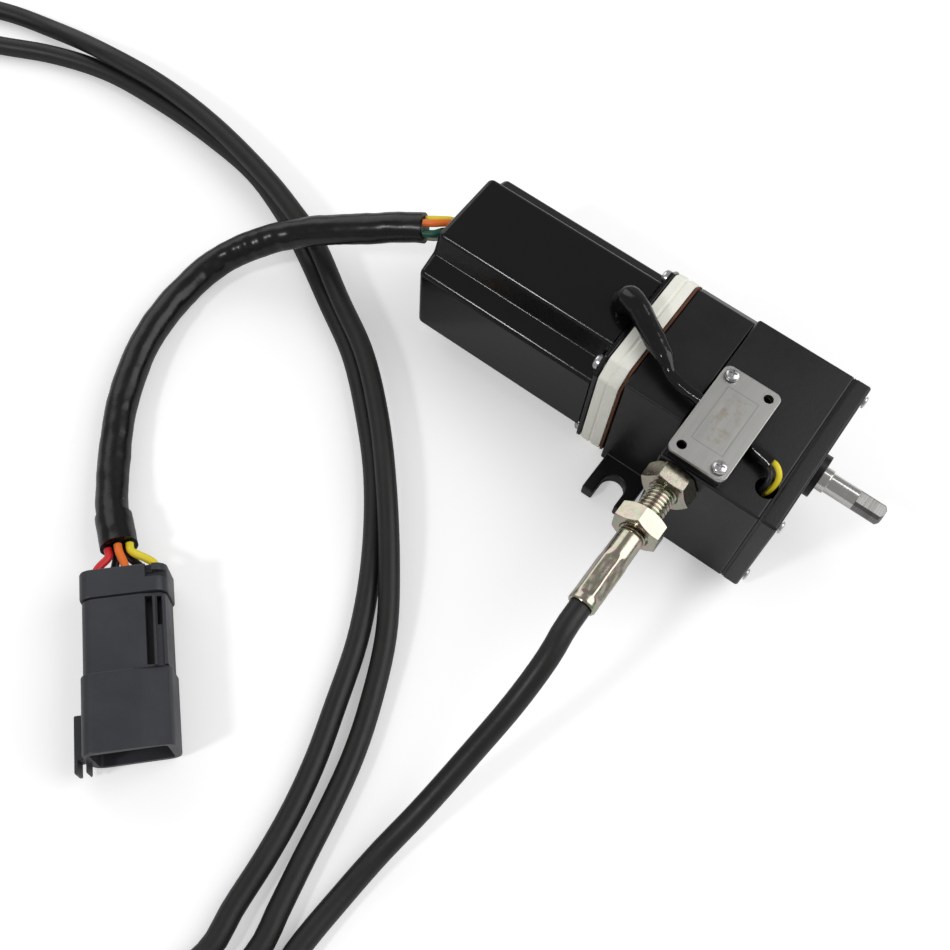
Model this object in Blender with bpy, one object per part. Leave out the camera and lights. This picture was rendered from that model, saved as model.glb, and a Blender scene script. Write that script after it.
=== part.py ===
import bpy
import bmesh
import math
from mathutils import Matrix, Vector

# Engine governor actuator: stepping motor, gearbox and push-pull cable with its harness.
# Metres. X runs along the motor to the output shaft, Y away from the cable, Z up, table at 0.

# Fits
GAP = 0.0003

# Motor
AXIS_HEIGHT = 0.0213
CASING_FRONT_X = -0.0182
CASING_LENGTH = 0.0570
CASING_HALF = 0.02115
CASING_FLAT = 0.0123
CASING_NOTCH = 0.0149
CASING_BORE = 0.0176
REAR_WALL = 0.0070
PLATE_THICKNESS = 0.0012
PILOT_RADIUS = 0.0110
PILOT_LENGTH = 0.0018
MOTOR_SHAFT_RADIUS = 0.0025
BEARING_RADIUS = 0.0080
BEARING_WIDTH = 0.0042
STATOR_LENGTH = 0.0260
STATOR_BORE = 0.0105
ROTOR_RADIUS = 0.0099
WIRE_HOLE_Y = -0.0040
WIRE_HOLE_Z = 0.0345
WIRE_HOLE_RADIUS = 0.0037
LEAD_HOLE_X = -0.0222
LEAD_HOLE_RADIUS = 0.0036

# Flange, gasket and adapter
FLANGE_HALF = 0.0212
FLANGE_THICKNESS = 0.0064
FLANGE_CHAMFER = 0.0045
GASKET_THICKNESS = 0.0006
ADAPTER_LENGTH = 0.0178
ADAPTER_HALF = 0.0208
ADAPTER_CHAMFER = 0.0040
ADAPTER_BORE = 0.0165
EAR_REACH = 0.0340
EAR_WIDTH = 0.0142
EAR_THICKNESS = 0.0042
EAR_SLOT = 0.0072
EAR_SLOT_DEPTH = 0.0088
FLANGE_SCREW_OFFSET = 0.0172
FLANGE_SCREW_RADIUS = 0.00125
FLANGE_SCREW_HEAD = 0.0022

# Gear housing and end cover
HOUSING_LENGTH = 0.0295
HOUSING_NEAR = 0.0334
HOUSING_FAR = 0.0182
HOUSING_BOTTOM = 0.0170
HOUSING_WALL = 0.0022
HOUSING_REAR_WALL = 0.0030
COVER_THICKNESS = 0.0047
COVER_BOSS_RADIUS = 0.0065
COVER_BOSS_LENGTH = 0.0023
COVER_SLEEVE_RADIUS = 0.0078
COVER_SLEEVE_LENGTH = 0.0092
COVER_SCREW_INSET = 0.0032
COVER_SCREW_RADIUS = 0.0015
COVER_SCREW_HEAD = 0.0026

# Gears, all of one module
MODULE = 0.0008
PRESSURE_ANGLE = math.radians(25)
PINION_TEETH = 12
WHEEL_TEETH = 30
ADDENDUM = 0.8
DEDENDUM = 1.05
BACKLASH = 0.00016
WHEEL_FLANK = (-DEDENDUM, ADDENDUM)
FIRST_STAGE_WIDTH = 0.0044
SECOND_STAGE_WIDTH = 0.0070
STAGE_SPACE = 0.0020
IDLER_PIN_RADIUS = 0.0020
RUNNING_FIT = 0.0003

# Output shaft
SEAT_RADIUS = 0.0040
SHAFT_RADIUS = 0.0035
SHAFT_STEP_RADIUS = 0.0030
SHAFT_SHOULDER = 0.0025
SHAFT_ROUND_LENGTH = 0.0085
SHAFT_FLAT_LENGTH = 0.0083
SHAFT_FLATS = 0.0046
BUSH_WALL = 0.0012

# Rack, inner wire and cable
RACK_TRAVEL = 0.0120
RACK_REST = 0.0270
RACK_LENGTH = 0.0305
RACK_WEB = 0.00246
RACK_CROWN = 0.0012
RACK_CLEARANCE = 0.0007
CABLE_X = 0.0154
WIRE_RADIUS = 0.0010
HUB_THREAD_RADIUS = 0.0039
HUB_NUT_FLATS = 0.0130
HUB_NUT_THICKNESS = 0.0065
HUB_NUT_SPACE = 0.0071
HUB_SLEEVE_RADIUS = 0.0041
HUB_SLEEVE_LENGTH = 0.0232
HUB_SWAGE_FLATS = 0.0076
CONDUIT_RADIUS = 0.00295
CONDUIT_GRIP = 0.0200
FAR_ROD_RADIUS = 0.0015
FAR_ROD_REACH = 0.0300
FAR_STUD_LENGTH = 0.0260

# Top pad, nameplate and position sensor
PAD_HEIGHT = 0.0041
PLATE_X = 0.0103
PLATE_Y = -0.0327
PLATE_WIDTH = 0.0159
PLATE_LENGTH = 0.0294
PLATE_SHEET = 0.0010
PLATE_HOLE_INSET = 0.0027
PLATE_HOLE_RADIUS = 0.0014
PLATE_SCREW_RADIUS = 0.0011
PLATE_SCREW_HEAD = 0.0019
SENSOR_THICKNESS = 0.0075
SENSOR_WIDTH = 0.0190
SENSOR_WIRE_RADIUS = 0.0008
SENSOR_HOLE_RADIUS = 0.0030

# Harness and connector
HARNESS_RADIUS = 0.0045
COLLAR_WALL = 0.0007
HARNESS_WIRE_RADIUS = 0.0011
MOTOR_WIRE_SPREAD = 0.0022
CONNECTOR_X = -0.0877
CONNECTOR_Y = -0.1320
CONNECTOR_TURN = math.radians(-45.2)
CAP_LENGTH = 0.0081
CAP_WIDTH = 0.0238
CAP_HEIGHT = 0.0166
BODY_LENGTH = 0.0203
BODY_WIDTH = 0.0228
BODY_HEIGHT = 0.0160
SHROUD_LENGTH = 0.0208
SHROUD_WIDTH = 0.0238
SHROUD_HEIGHT = 0.0172
SHROUD_WALL = 0.0020
SHROUD_DEPTH = 0.0165

# Cord centre lines, millimetres
CONDUIT_POINTS = (
    (15.4, -57.3, 37.9), (15.4, -67, 37.9), (15.4, -78, 37.9), (15.5, -84, 37.7), (16.1, -91, 35.8),
    (15.6, -102.8, 29.5), (13.4, -117.9, 18.8), (10.8, -134.3, 9), (8.5, -147.8, 4.6), (7.2, -160.7, 3.1),
    (6.3, -175, 3.1), (6.5, -186, 3.1), (3, -206, 3.1), (-12, -236, 3.1), (-42, -263, 3.1),
    (-84, -280, 3.1), (-132, -286, 3.1), (-182, -280, 3.1), (-230, -262, 3.1), (-272, -233, 3.1),
    (-305, -193, 3.1), (-324, -147, 3.1), (-328, -100, 3.1), (-318, -55, 3.1), (-296, -23, 3.1),
    (-264.6, -6.4, 3.1), (-244.8, -1.3, 3.1), (-219, -1.5, 9), (-196.3, -0.3, 9.2), (-171.4, -2.6, 9.5),
    (-143.9, -8.6, 9.5), (-128.9, -13.5, 9.4), (-117.5, -17.8, 8.8), (-97.8, -29.8, 8.9), (-81.4, -39.5, 8.7),
    (-64.9, -53.6, 8.6), (-51.1, -68.1, 8.5), (-36.1, -86, 7.1), (-24.5, -102.3, 4.4), (-15.9, -120.7, 3.1),
    (-11.4, -133.4, 3.1), (-8.2, -146.6, 3.1), (-5.7, -159.4, 3.1), (-3.1, -171.7, 3.1), (-1, -181.8, 3.1),
    (-3, -196, 3.1), (-14, -220, 3.1), (-40, -244, 3.1), (-80, -262, 3.1), (-130, -269, 3.1),
    (-180, -263, 3.1), (-226, -246, 3.1), (-264, -218, 3.1), (-293, -180, 3.1), (-308, -138, 3.1),
    (-309, -95, 3.1), (-299, -57, 3.1), (-279, -30, 3.1), (-253.2, -17.6, 3.1), (-236.7, -9.5, 3.1),
    (-218, -3.9, 3.1), (-195.5, -2.4, 3.1), (-171.9, -3.3, 3.1), (-152.4, -6, 3.1), (-134.9, -12.4, 3.1),
    (-122.7, -18.4, 3.1), (-103.1, -29.8, 3.1), (-86.1, -39.9, 3.1), (-69.5, -53.9, 3.1), (-55.4, -68.2, 3.1),
    (-40.9, -87.7, 3.1), (-30.4, -106.6, 3.1), (-23.1, -126.1, 3.1), (-18.7, -138.9, 3.1), (-15.4, -151.9, 3.1),
    (-13.3, -165, 3.1), (-12, -178.2, 3.1), (-10.5, -189, 3.1), (-15.5, -203, 3.1), (-31, -219, 3.6),
    (-52, -229, 6.4), (-66, -233.6, 7.9), (-78, -237.1, 7.9), (-98, -242.93, 7.9))
SLEEVE_POINTS = (
    (-83.8, -7.7, 33), (-91, -10.9, 30.8), (-98.6, -14.7, 27.8), (-108.4, -18.8, 23.4), (-118.2, -23, 18.2),
    (-126.3, -28.6, 13.8), (-132.7, -34.6, 9.8), (-137.2, -42.5, 6.4), (-138.8, -51.3, 4.9),
    (-136.3, -71.7, 4.8), (-128.1, -91, 4.8), (-117, -106.8, 4.9), (-107.7, -117.4, 5.9),
    (-101.5, -122.6, 7.1), (-95.4, -127, 8.2))
LEAD_POINTS = (
    (-22.2, 0, 39.4), (-22.2, 0, 43.6), (-21, -0.4, 46.2), (-17.8, -1.9, 47), (-13.8, -4.2, 46.6),
    (-9, -7.1, 46.3), (-4.5, -9.9, 46), (-0.6, -12.6, 45.1), (3.9, -14, 45.2), (8.1, -14.6, 45.6),
    (16, -16.8, 45.6), (24, -19.2, 45.6), (32.6, -21.9, 45.6))
LEAD_RADII = (3.2, 3.2, 3.3, 3.3, 3.2, 3, 2.7, 1.8, 1.8, 1.7, 1.65, 1.65, 1.7)


def material(name, colour, roughness, metallic):
    mat = bpy.data.materials.new(name)
    mat.use_nodes = True
    shader = mat.node_tree.nodes["Principled BSDF"]
    shader.inputs["Base Color"].default_value = (*colour, 1)
    shader.inputs["Roughness"].default_value = roughness
    shader.inputs["Metallic"].default_value = metallic
    mat.diffuse_color = (*colour, 1)
    return mat


def finish(bm, name, look=None):
    bmesh.ops.recalc_face_normals(bm, faces=bm.faces)
    mesh = bpy.data.meshes.new(name)
    bm.to_mesh(mesh)
    bm.free()
    obj = bpy.data.objects.new(name, mesh)
    bpy.context.collection.objects.link(obj)
    if look:
        obj.data.materials.append(material(name, *look))
    return obj


def place(axis, along, a, b):
    if axis == "X":
        return (along, a, b)
    if axis == "Y":
        return (a, along, b)
    return (a, b, along)


def prism(name, outline, axis, low, high, look=None):
    bm = bmesh.new()
    rows = [[bm.verts.new(place(axis, s, a, b)) for a, b in outline] for s in (low, high)]
    bm.faces.new(rows[0])
    bm.faces.new(rows[1])
    for i in range(len(outline)):
        j = (i + 1) % len(outline)
        bm.faces.new((rows[0][i], rows[0][j], rows[1][j], rows[1][i]))
    return finish(bm, name, look)


def box(name, low, high, look=None, bevel=0.0, segments=1):
    bm = bmesh.new()
    bmesh.ops.create_cube(bm, size=1)
    for vert in bm.verts:
        vert.co = [low[i] if vert.co[i] < 0 else high[i] for i in range(3)]
    if bevel:
        bmesh.ops.bevel(bm, geom=bm.edges[:], offset=bevel, segments=segments, profile=0.5, affect="EDGES")
    return finish(bm, name, look)


def turned(name, profile, axis, a, b, look=None, sides=20, ring=False):
    bm = bmesh.new()
    rows = []
    for along, radius in profile:
        if radius < 1e-7:
            rows.append([bm.verts.new(place(axis, along, a, b))])
            continue
        rows.append([bm.verts.new(place(axis, along, a + radius * math.cos(t), b + radius * math.sin(t)))
                     for t in (2 * math.pi * (k + 0.5) / sides for k in range(sides))])
    pairs = list(zip(rows, rows[1:])) + ([(rows[-1], rows[0])] if ring else [])
    for one, two in pairs:
        for k in range(sides):
            n = (k + 1) % sides
            if len(one) == 1:
                bm.faces.new((one[0], two[k], two[n]))
            elif len(two) == 1:
                bm.faces.new((one[k], one[n], two[0]))
            else:
                bm.faces.new((one[k], one[n], two[n], two[k]))
    return finish(bm, name, look)


def rod(name, axis, low, high, a, b, radius, look=None, sides=20):
    return turned(name, ((low, 0), (low, radius), (high, radius), (high, 0)), axis, a, b, look, sides)


def pipe(name, axis, low, high, a, b, outer, inner, look=None, sides=20):
    profile = ((low, inner), (low, outer), (high, outer), (high, inner))
    return turned(name, profile, axis, a, b, look, sides, ring=True)


def combine(obj, others, how):
    for other in others:
        mod = obj.modifiers.new(how, "BOOLEAN")
        mod.operation = how
        mod.solver = "EXACT"
        mod.object = other
        graph = bpy.context.evaluated_depsgraph_get()
        mesh = bpy.data.meshes.new_from_object(obj.evaluated_get(graph))
        obj.modifiers.clear()
        old = obj.data
        obj.data = mesh
        mesh.name = obj.name
        bpy.data.meshes.remove(old)
        bpy.data.objects.remove(other)
    return obj


def cut(obj, *others):
    return combine(obj, others, "DIFFERENCE")


def join(obj, *others):
    return combine(obj, others, "UNION")


def smooth_path(points, step):
    pts = [Vector(p) * 0.001 for p in points]
    pts = [2 * pts[0] - pts[1]] + pts + [2 * pts[-1] - pts[-2]]
    fine = []
    for i in range(1, len(pts) - 2):
        p0, p1, p2, p3 = pts[i - 1:i + 3]
        t1 = (p1 - p0).length ** 0.5
        t2 = t1 + (p2 - p1).length ** 0.5
        t3 = t2 + (p3 - p2).length ** 0.5
        for k in range(12):
            t = t1 + (t2 - t1) * k / 12
            a1 = p0.lerp(p1, t / t1)
            a2 = p1.lerp(p2, (t - t1) / (t2 - t1))
            a3 = p2.lerp(p3, (t - t2) / (t3 - t2))
            b1 = a1.lerp(a2, t / t2)
            b2 = a2.lerp(a3, (t - t1) / (t3 - t1))
            fine.append((b1.lerp(b2, (t - t1) / (t2 - t1)), i - 1 + k / 12))
    fine.append((pts[-2], len(pts) - 3))
    length = sum((fine[i + 1][0] - fine[i][0]).length for i in range(len(fine) - 1))
    count = max(2, round(length / step))
    out, gone, i = [fine[0]], 0.0, 0
    for k in range(1, count):
        goal = length * k / count
        while gone + (fine[i + 1][0] - fine[i][0]).length < goal:
            gone += (fine[i + 1][0] - fine[i][0]).length
            i += 1
        f = (goal - gone) / (fine[i + 1][0] - fine[i][0]).length
        out.append((fine[i][0].lerp(fine[i + 1][0], f), fine[i][1] * (1 - f) + fine[i + 1][1] * f))
    return out + [fine[-1]]


def swept(name, path, radii, look, sides=10, inner=0.0):
    points = [p for p, t in path]
    tangents = [(points[min(i + 1, len(points) - 1)] - points[max(i - 1, 0)]).normalized()
                for i in range(len(points))]
    side = tangents[0].orthogonal().normalized()
    bm = bmesh.new()
    rows = []
    for i, tangent in enumerate(tangents):
        side = (side - tangent * side.dot(tangent)).normalized()
        other = tangent.cross(side)
        around = [side * math.cos(2 * math.pi * k / sides) + other * math.sin(2 * math.pi * k / sides)
                  for k in range(sides)]
        where = path[i][1]
        low = min(int(where), len(radii) - 1)
        high = min(low + 1, len(radii) - 1)
        radius = radii[low] + (radii[high] - radii[low]) * (where - low)
        rows.append([[bm.verts.new(points[i] + d * r) for d in around] for r in (radius, inner) if r])
    for one, two in zip(rows, rows[1:]):
        for a, b in zip(one, two):
            for k in range(sides):
                n = (k + 1) % sides
                bm.faces.new((a[k], a[n], b[n], b[k]))
    for row in (rows[0], rows[-1]):
        if inner:
            for k in range(sides):
                n = (k + 1) % sides
                bm.faces.new((row[0][k], row[0][n], row[1][n], row[1][k]))
        else:
            bm.faces.new(row[0])
    return finish(bm, name, look)


def gear_outline(teeth, phase, y, z, heights=(-DEDENDUM, -0.2, ADDENDUM)):
    pitch = MODULE * teeth / 2
    base = pitch * math.cos(PRESSURE_ANGLE)
    involute = math.tan(PRESSURE_ANGLE) - PRESSURE_ANGLE
    half = math.pi / (2 * teeth) - BACKLASH / (4 * pitch) + involute
    flank = []
    for height in heights:
        radius = pitch + height * MODULE
        roll = math.acos(min(1.0, base / max(radius, base)))
        flank.append((radius, half - (math.tan(roll) - roll)))
    outline = []
    for k in range(teeth):
        centre = phase + 2 * math.pi * k / teeth
        for radius, angle in [(r, -a) for r, a in flank] + [(r, a) for r, a in reversed(flank)]:
            outline.append((y + radius * math.cos(centre + angle), z + radius * math.sin(centre + angle)))
    return outline


def hexagon(flats, a, b, turn=0.0):
    radius = flats / math.sqrt(3)
    return [(a + radius * math.cos(turn + math.pi * k / 3), b + radius * math.sin(turn + math.pi * k / 3))
            for k in range(6)]


def chamfered(half, near, far, y, z):
    return [(y - half, z - half + near), (y - half + near, z - half), (y + half - far, z - half),
            (y + half, z - half + far), (y + half, z + half - far), (y + half - far, z + half),
            (y - half + near, z + half), (y - half, z + half - near)]


def pan_screw(name, face, sign, y, z, shank, head, height, length, look, axis="X"):
    profile = ((face + sign * length, 0), (face + sign * length, shank), (face, shank), (face, head),
               (face - sign * height * 0.55, head), (face - sign * height, head * 0.62),
               (face - sign * height, 0))
    return turned(name, profile, axis, y, z, look, sides=9)


BLACK = ((0.012, 0.012, 0.013), 0.35, 0)
SATIN = ((0.02, 0.02, 0.021), 0.5, 0)
STEEL = ((0.6, 0.6, 0.6), 0.3, 1)
DARK_STEEL = ((0.25, 0.25, 0.26), 0.4, 1)
BRASS = ((0.7, 0.5, 0.22), 0.35, 1)
COPPER = ((0.7, 0.3, 0.15), 0.4, 1)
ZINC = ((0.72, 0.68, 0.5), 0.28, 1)
PLASTIC = ((0.05, 0.052, 0.055), 0.55, 0)
YELLOW = ((0.85, 0.72, 0.05), 0.4, 0)
ORANGE = ((0.9, 0.25, 0.03), 0.4, 0)
RED = ((0.7, 0.02, 0.02), 0.4, 0)
GREEN = ((0.02, 0.16, 0.09), 0.4, 0)
GREY = ((0.35, 0.34, 0.3), 0.45, 0)
PVC = ((0.012, 0.012, 0.013), 0.28, 0)

for item in list(bpy.data.objects):
    bpy.data.objects.remove(item, do_unlink=True)

# Stations along the motor axis
plate_x = CASING_FRONT_X + GAP
flange_x = plate_x + PLATE_THICKNESS + GAP
gasket_x = flange_x + FLANGE_THICKNESS + GAP
adapter_x = gasket_x + GASKET_THICKNESS + GAP
housing_x = adapter_x + ADAPTER_LENGTH + GAP
cover_x = housing_x + HOUSING_LENGTH + GAP
cover_end = cover_x + COVER_THICKNESS
boss_end = cover_end + COVER_BOSS_LENGTH
casing_rear = CASING_FRONT_X - CASING_LENGTH
mid = AXIS_HEIGHT

# Motor casing with square notches along its edges
quarter = [(CASING_HALF, -CASING_FLAT), (CASING_HALF, CASING_FLAT), (CASING_NOTCH, CASING_NOTCH)]
section = []
for turn in range(4):
    for a, b in quarter:
        for _ in range(turn):
            a, b = -b, a
        section.append((a, mid + b))
casing = prism("motor_casing", section, "X", casing_rear, CASING_FRONT_X, BLACK)
bm = bmesh.new()
bm.from_mesh(casing.data)
rear = [e for e in bm.edges if all(v.co.x < casing_rear + 1e-6 for v in e.verts)]
bmesh.ops.bevel(bm, geom=rear, offset=0.0014, segments=2, profile=0.5, affect="EDGES")
bm.to_mesh(casing.data)
bm.free()
bore_x = casing_rear + REAR_WALL
pocket = bore_x - BEARING_WIDTH - GAP
profile = ((pocket, 0), (pocket, BEARING_RADIUS + GAP), (bore_x, BEARING_RADIUS + GAP), (bore_x, CASING_BORE),
           (CASING_FRONT_X + 0.001, CASING_BORE), (CASING_FRONT_X + 0.001, 0))
cut(casing,
    turned("c", profile, "X", 0, mid, sides=28),
    rod("c", "X", casing_rear - 0.001, bore_x + 0.001, WIRE_HOLE_Y, WIRE_HOLE_Z, WIRE_HOLE_RADIUS),
    rod("c", "Z", mid + CASING_BORE - 0.002, mid + CASING_HALF + 0.001, LEAD_HOLE_X, 0, LEAD_HOLE_RADIUS))

# Front plate with the front bearing's pocket and the pilot
boss_x = plate_x - GAP - BEARING_WIDTH - 0.0008
profile = ((boss_x, MOTOR_SHAFT_RADIUS + 0.0005), (boss_x, CASING_BORE - GAP),
           (plate_x, CASING_BORE - GAP), (plate_x, CASING_BORE - 0.002),
           (plate_x + PLATE_THICKNESS, CASING_BORE - 0.002), (plate_x + PLATE_THICKNESS, PILOT_RADIUS),
           (plate_x + PLATE_THICKNESS + PILOT_LENGTH, PILOT_RADIUS),
           (plate_x + PLATE_THICKNESS + PILOT_LENGTH, MOTOR_SHAFT_RADIUS + 0.0005))
front = turned("front_plate", profile, "X", 0, mid, BLACK, sides=24, ring=True)
sheet = prism("c", chamfered(FLANGE_HALF, FLANGE_CHAMFER, FLANGE_CHAMFER, 0, mid), "X",
              plate_x, plate_x + PLATE_THICKNESS)
cut(sheet, rod("c", "X", plate_x - 0.01, plate_x + 0.01, 0, mid, CASING_BORE - 0.004, sides=24))
join(front, sheet)
cut(front, rod("c", "X", boss_x - 0.001, boss_x + BEARING_WIDTH + GAP, 0, mid, BEARING_RADIUS + GAP))

# Cream flange and the gasket behind it
flange = prism("mounting_flange", chamfered(FLANGE_HALF, FLANGE_CHAMFER, FLANGE_CHAMFER, 0, mid), "X",
               flange_x, flange_x + FLANGE_THICKNESS, ((0.72, 0.71, 0.62), 0.55, 0))
cut(flange, rod("c", "X", flange_x - 0.001, flange_x + 0.02, 0, mid, PILOT_RADIUS + GAP, sides=32))
gasket = prism("gasket", chamfered(FLANGE_HALF - 0.0002, FLANGE_CHAMFER, FLANGE_CHAMFER, 0, mid), "X",
               gasket_x, gasket_x + GASKET_THICKNESS, ((0.3, 0.09, 0.04), 0.8, 0))
cut(gasket, rod("c", "X", gasket_x - 0.001, gasket_x + 0.002, 0, mid, ADAPTER_BORE, sides=32))

# Adapter housing with a slotted foot on either side
outline = [(-ADAPTER_HALF, 0), (ADAPTER_HALF, 0), (ADAPTER_HALF, mid + ADAPTER_HALF - ADAPTER_CHAMFER),
           (ADAPTER_HALF - ADAPTER_CHAMFER, mid + ADAPTER_HALF),
           (0.0004 - ADAPTER_HALF, mid + ADAPTER_HALF), (-ADAPTER_HALF, mid + ADAPTER_HALF - 0.0004)]
adapter = prism("adapter_housing", outline, "X", adapter_x, adapter_x + ADAPTER_LENGTH, SATIN)
join(adapter, box("c", (-EAR_WIDTH / 2, -EAR_REACH, 0), (EAR_WIDTH / 2, EAR_REACH, EAR_THICKNESS)))
wall_x = adapter_x + ADAPTER_LENGTH
slot = EAR_SLOT / 2
arc = [(slot * math.cos(t), slot * math.sin(t)) for t in (math.pi * k / 10 for k in range(11))]
for side in (-1, 1):
    inner = EAR_REACH - EAR_SLOT_DEPTH + slot
    shape = [(slot, side * (EAR_REACH + 0.001))] + [(a, side * (inner - b)) for a, b in arc]
    shape += [(-slot, side * (EAR_REACH + 0.001))]
    cut(adapter, prism("c", shape, "Z", -0.001, EAR_THICKNESS + 0.001))
pocket_x = wall_x - 0.0010 - BEARING_WIDTH - GAP
profile = ((adapter_x - 0.001, 0), (adapter_x - 0.001, ADAPTER_BORE), (pocket_x, ADAPTER_BORE),
           (pocket_x, BEARING_RADIUS + GAP), (wall_x - 0.0010, BEARING_RADIUS + GAP),
           (wall_x - 0.0010, MOTOR_SHAFT_RADIUS + 0.0005), (wall_x + 0.001, MOTOR_SHAFT_RADIUS + 0.0005),
           (wall_x + 0.001, 0))
cut(adapter, turned("c", profile, "X", 0, mid, sides=28))

# Four pan screws through plate and flange into the adapter
index = 0
for dy in (-FLANGE_SCREW_OFFSET, FLANGE_SCREW_OFFSET):
    for dz in (FLANGE_SCREW_OFFSET, -FLANGE_SCREW_OFFSET):
        index += 1
        depth = adapter_x + 0.0045 - (plate_x - GAP)
        for target in (front, flange, gasket, adapter):
            end = adapter_x + 0.005 if target == adapter else adapter_x - 0.0001
            start = plate_x - 0.001 if target != adapter else adapter_x - 0.001
            cut(target, rod("c", "X", start, end, dy, mid + dz, FLANGE_SCREW_RADIUS + GAP, sides=12))
        pan_screw(f"flange_screw_{index}", plate_x - GAP, 1, dy, mid + dz, FLANGE_SCREW_RADIUS,
                  FLANGE_SCREW_HEAD, 0.0019, depth, STEEL)

# Stator with eight slots, its winding through them, rotor, shaft and bearings
stator_x = (bore_x + boss_x) / 2 - STATOR_LENGTH / 2
stator = pipe("stator_core", "X", stator_x, stator_x + STATOR_LENGTH, 0, mid,
              CASING_BORE - GAP, STATOR_BORE, DARK_STEEL, sides=18)
winding = pipe("winding", "X", stator_x - 0.0040, stator_x - GAP, 0, mid, 0.0158, 0.0118, COPPER, 14)
join(winding, pipe("c", "X", stator_x + STATOR_LENGTH + GAP, stator_x + STATOR_LENGTH + 0.0040,
                   0, mid, 0.0158, 0.0118, None, 14))
for k in range(8):
    t = 2 * math.pi * (k + 0.43) / 8
    y, z = 0.0138 * math.cos(t), mid + 0.0138 * math.sin(t)
    cut(stator, rod("c", "X", stator_x - 0.001, stator_x + STATOR_LENGTH + 0.001, y, z, 0.0018 + GAP, sides=6))
    join(winding, rod("c", "X", stator_x - 0.0021, stator_x + STATOR_LENGTH + 0.0021, y, z, 0.0018, sides=6))
pipe("rotor", "X", stator_x + 0.001, stator_x + STATOR_LENGTH - 0.001, 0, mid, ROTOR_RADIUS,
     MOTOR_SHAFT_RADIUS + GAP, DARK_STEEL, 16)
shaft_end = adapter_x + 0.0040
rod("motor_shaft", "X", bore_x - BEARING_WIDTH, shaft_end, 0, mid, MOTOR_SHAFT_RADIUS, STEEL, 20)
pipe("bearing_rear", "X", bore_x - BEARING_WIDTH, bore_x, 0, mid, BEARING_RADIUS,
     MOTOR_SHAFT_RADIUS + GAP, STEEL, 12)
pipe("bearing_front", "X", boss_x, boss_x + BEARING_WIDTH, 0, mid, BEARING_RADIUS,
     MOTOR_SHAFT_RADIUS + GAP, STEEL, 12)

# Coupling, pinion shaft and its bearing
pipe("shaft_coupling", "X", shaft_end - 0.0050, shaft_end + 0.0058, 0, mid, 0.0075,
     MOTOR_SHAFT_RADIUS + GAP, ((0.5, 0.5, 0.52), 0.35, 1), 16)
pipe("pinion_bearing", "X", pocket_x + GAP, pocket_x + BEARING_WIDTH, 0, mid, BEARING_RADIUS,
     MOTOR_SHAFT_RADIUS + GAP, STEEL, 12)
wheel_x = housing_x + HOUSING_REAR_WALL + 0.0006
second_x = wheel_x + FIRST_STAGE_WIDTH + STAGE_SPACE
second_end = second_x + SECOND_STAGE_WIDTH
centres = MODULE * (PINION_TEETH + WHEEL_TEETH) / 2
pinion = rod("pinion_shaft", "X", shaft_end + 0.0006, wheel_x + 0.001, 0, mid, MOTOR_SHAFT_RADIUS, STEEL, 20)
join(pinion, prism("c", gear_outline(PINION_TEETH, math.pi, 0, mid), "X",
                   wheel_x, wheel_x + FIRST_STAGE_WIDTH))

# Gear housing, open at the end cover, with corner posts and the cable's wall
pitch_z = mid + MODULE * WHEEL_TEETH / 2
root_z = pitch_z + DEDENDUM * MODULE
cable_z = root_z + RACK_WEB + WIRE_RADIUS + GAP
rack_top = cable_z + WIRE_RADIUS + GAP + RACK_CROWN
top = rack_top + RACK_CLEARANCE + HOUSING_WALL
bottom = mid - HOUSING_BOTTOM
housing = box("gear_housing", (housing_x, -HOUSING_NEAR, bottom), (housing_x + HOUSING_LENGTH, HOUSING_FAR, top),
              SATIN, bevel=0.0005)
inner_x = housing_x + HOUSING_REAR_WALL
cut(housing, box("c", (inner_x, -HOUSING_NEAR + HOUSING_WALL, bottom + HOUSING_WALL),
                 (cover_x + 0.001, HOUSING_FAR - HOUSING_WALL, top - HOUSING_WALL)))
posts = [(-HOUSING_NEAR + COVER_SCREW_INSET, top - COVER_SCREW_INSET),
         (-HOUSING_NEAR + COVER_SCREW_INSET, bottom + COVER_SCREW_INSET),
         (HOUSING_FAR - COVER_SCREW_INSET, top - COVER_SCREW_INSET),
         (HOUSING_FAR - COVER_SCREW_INSET, bottom + COVER_SCREW_INSET)]
post_x = second_end + 0.0030
post_end = housing_x + HOUSING_LENGTH
for y, z in posts:
    low = (post_x, max(y - 0.0034, 0.001 - HOUSING_NEAR), max(z - 0.0034, bottom + 0.001))
    high = (post_end - 0.0006, min(y + 0.0034, HOUSING_FAR - 0.001), min(z + 0.0034, top - 0.001))
    join(housing, box("c", low, high))
    cut(housing, rod("c", "X", post_end - 0.0070, post_end + 0.001, y, z, COVER_SCREW_RADIUS + GAP, sides=12))
pad = box("c", (PLATE_X + 0.0004, PLATE_Y + 0.0006, top - 0.0008),
          (PLATE_X + PLATE_WIDTH - 0.0004, PLATE_Y + PLATE_LENGTH - 0.0004, top + PAD_HEIGHT))
lead_cut = [(0.0040, -0.0090), (0.0040, -0.0160), (0.0330, -0.0252), (0.0330, -0.0182)]
cut(pad, prism("c", lead_cut, "Z", top + 0.0001, top + PAD_HEIGHT + 0.001))
join(housing, pad)
hub_y = -HOUSING_NEAR
cut(housing,
    rod("c", "Y", hub_y - 0.001, hub_y + HOUSING_WALL + 0.001, CABLE_X, cable_z, HUB_THREAD_RADIUS + GAP),
    rod("c", "X", housing_x - 0.001, inner_x + 0.001, 0, mid, MOTOR_SHAFT_RADIUS + 0.0005),
    rod("c", "X", inner_x - 0.0020, inner_x + 0.001, -centres, mid, IDLER_PIN_RADIUS + GAP),
    rod("c", "Z", top - HOUSING_WALL - 0.001, top + 0.001, 0.0360, -0.0246, SENSOR_HOLE_RADIUS))

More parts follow.
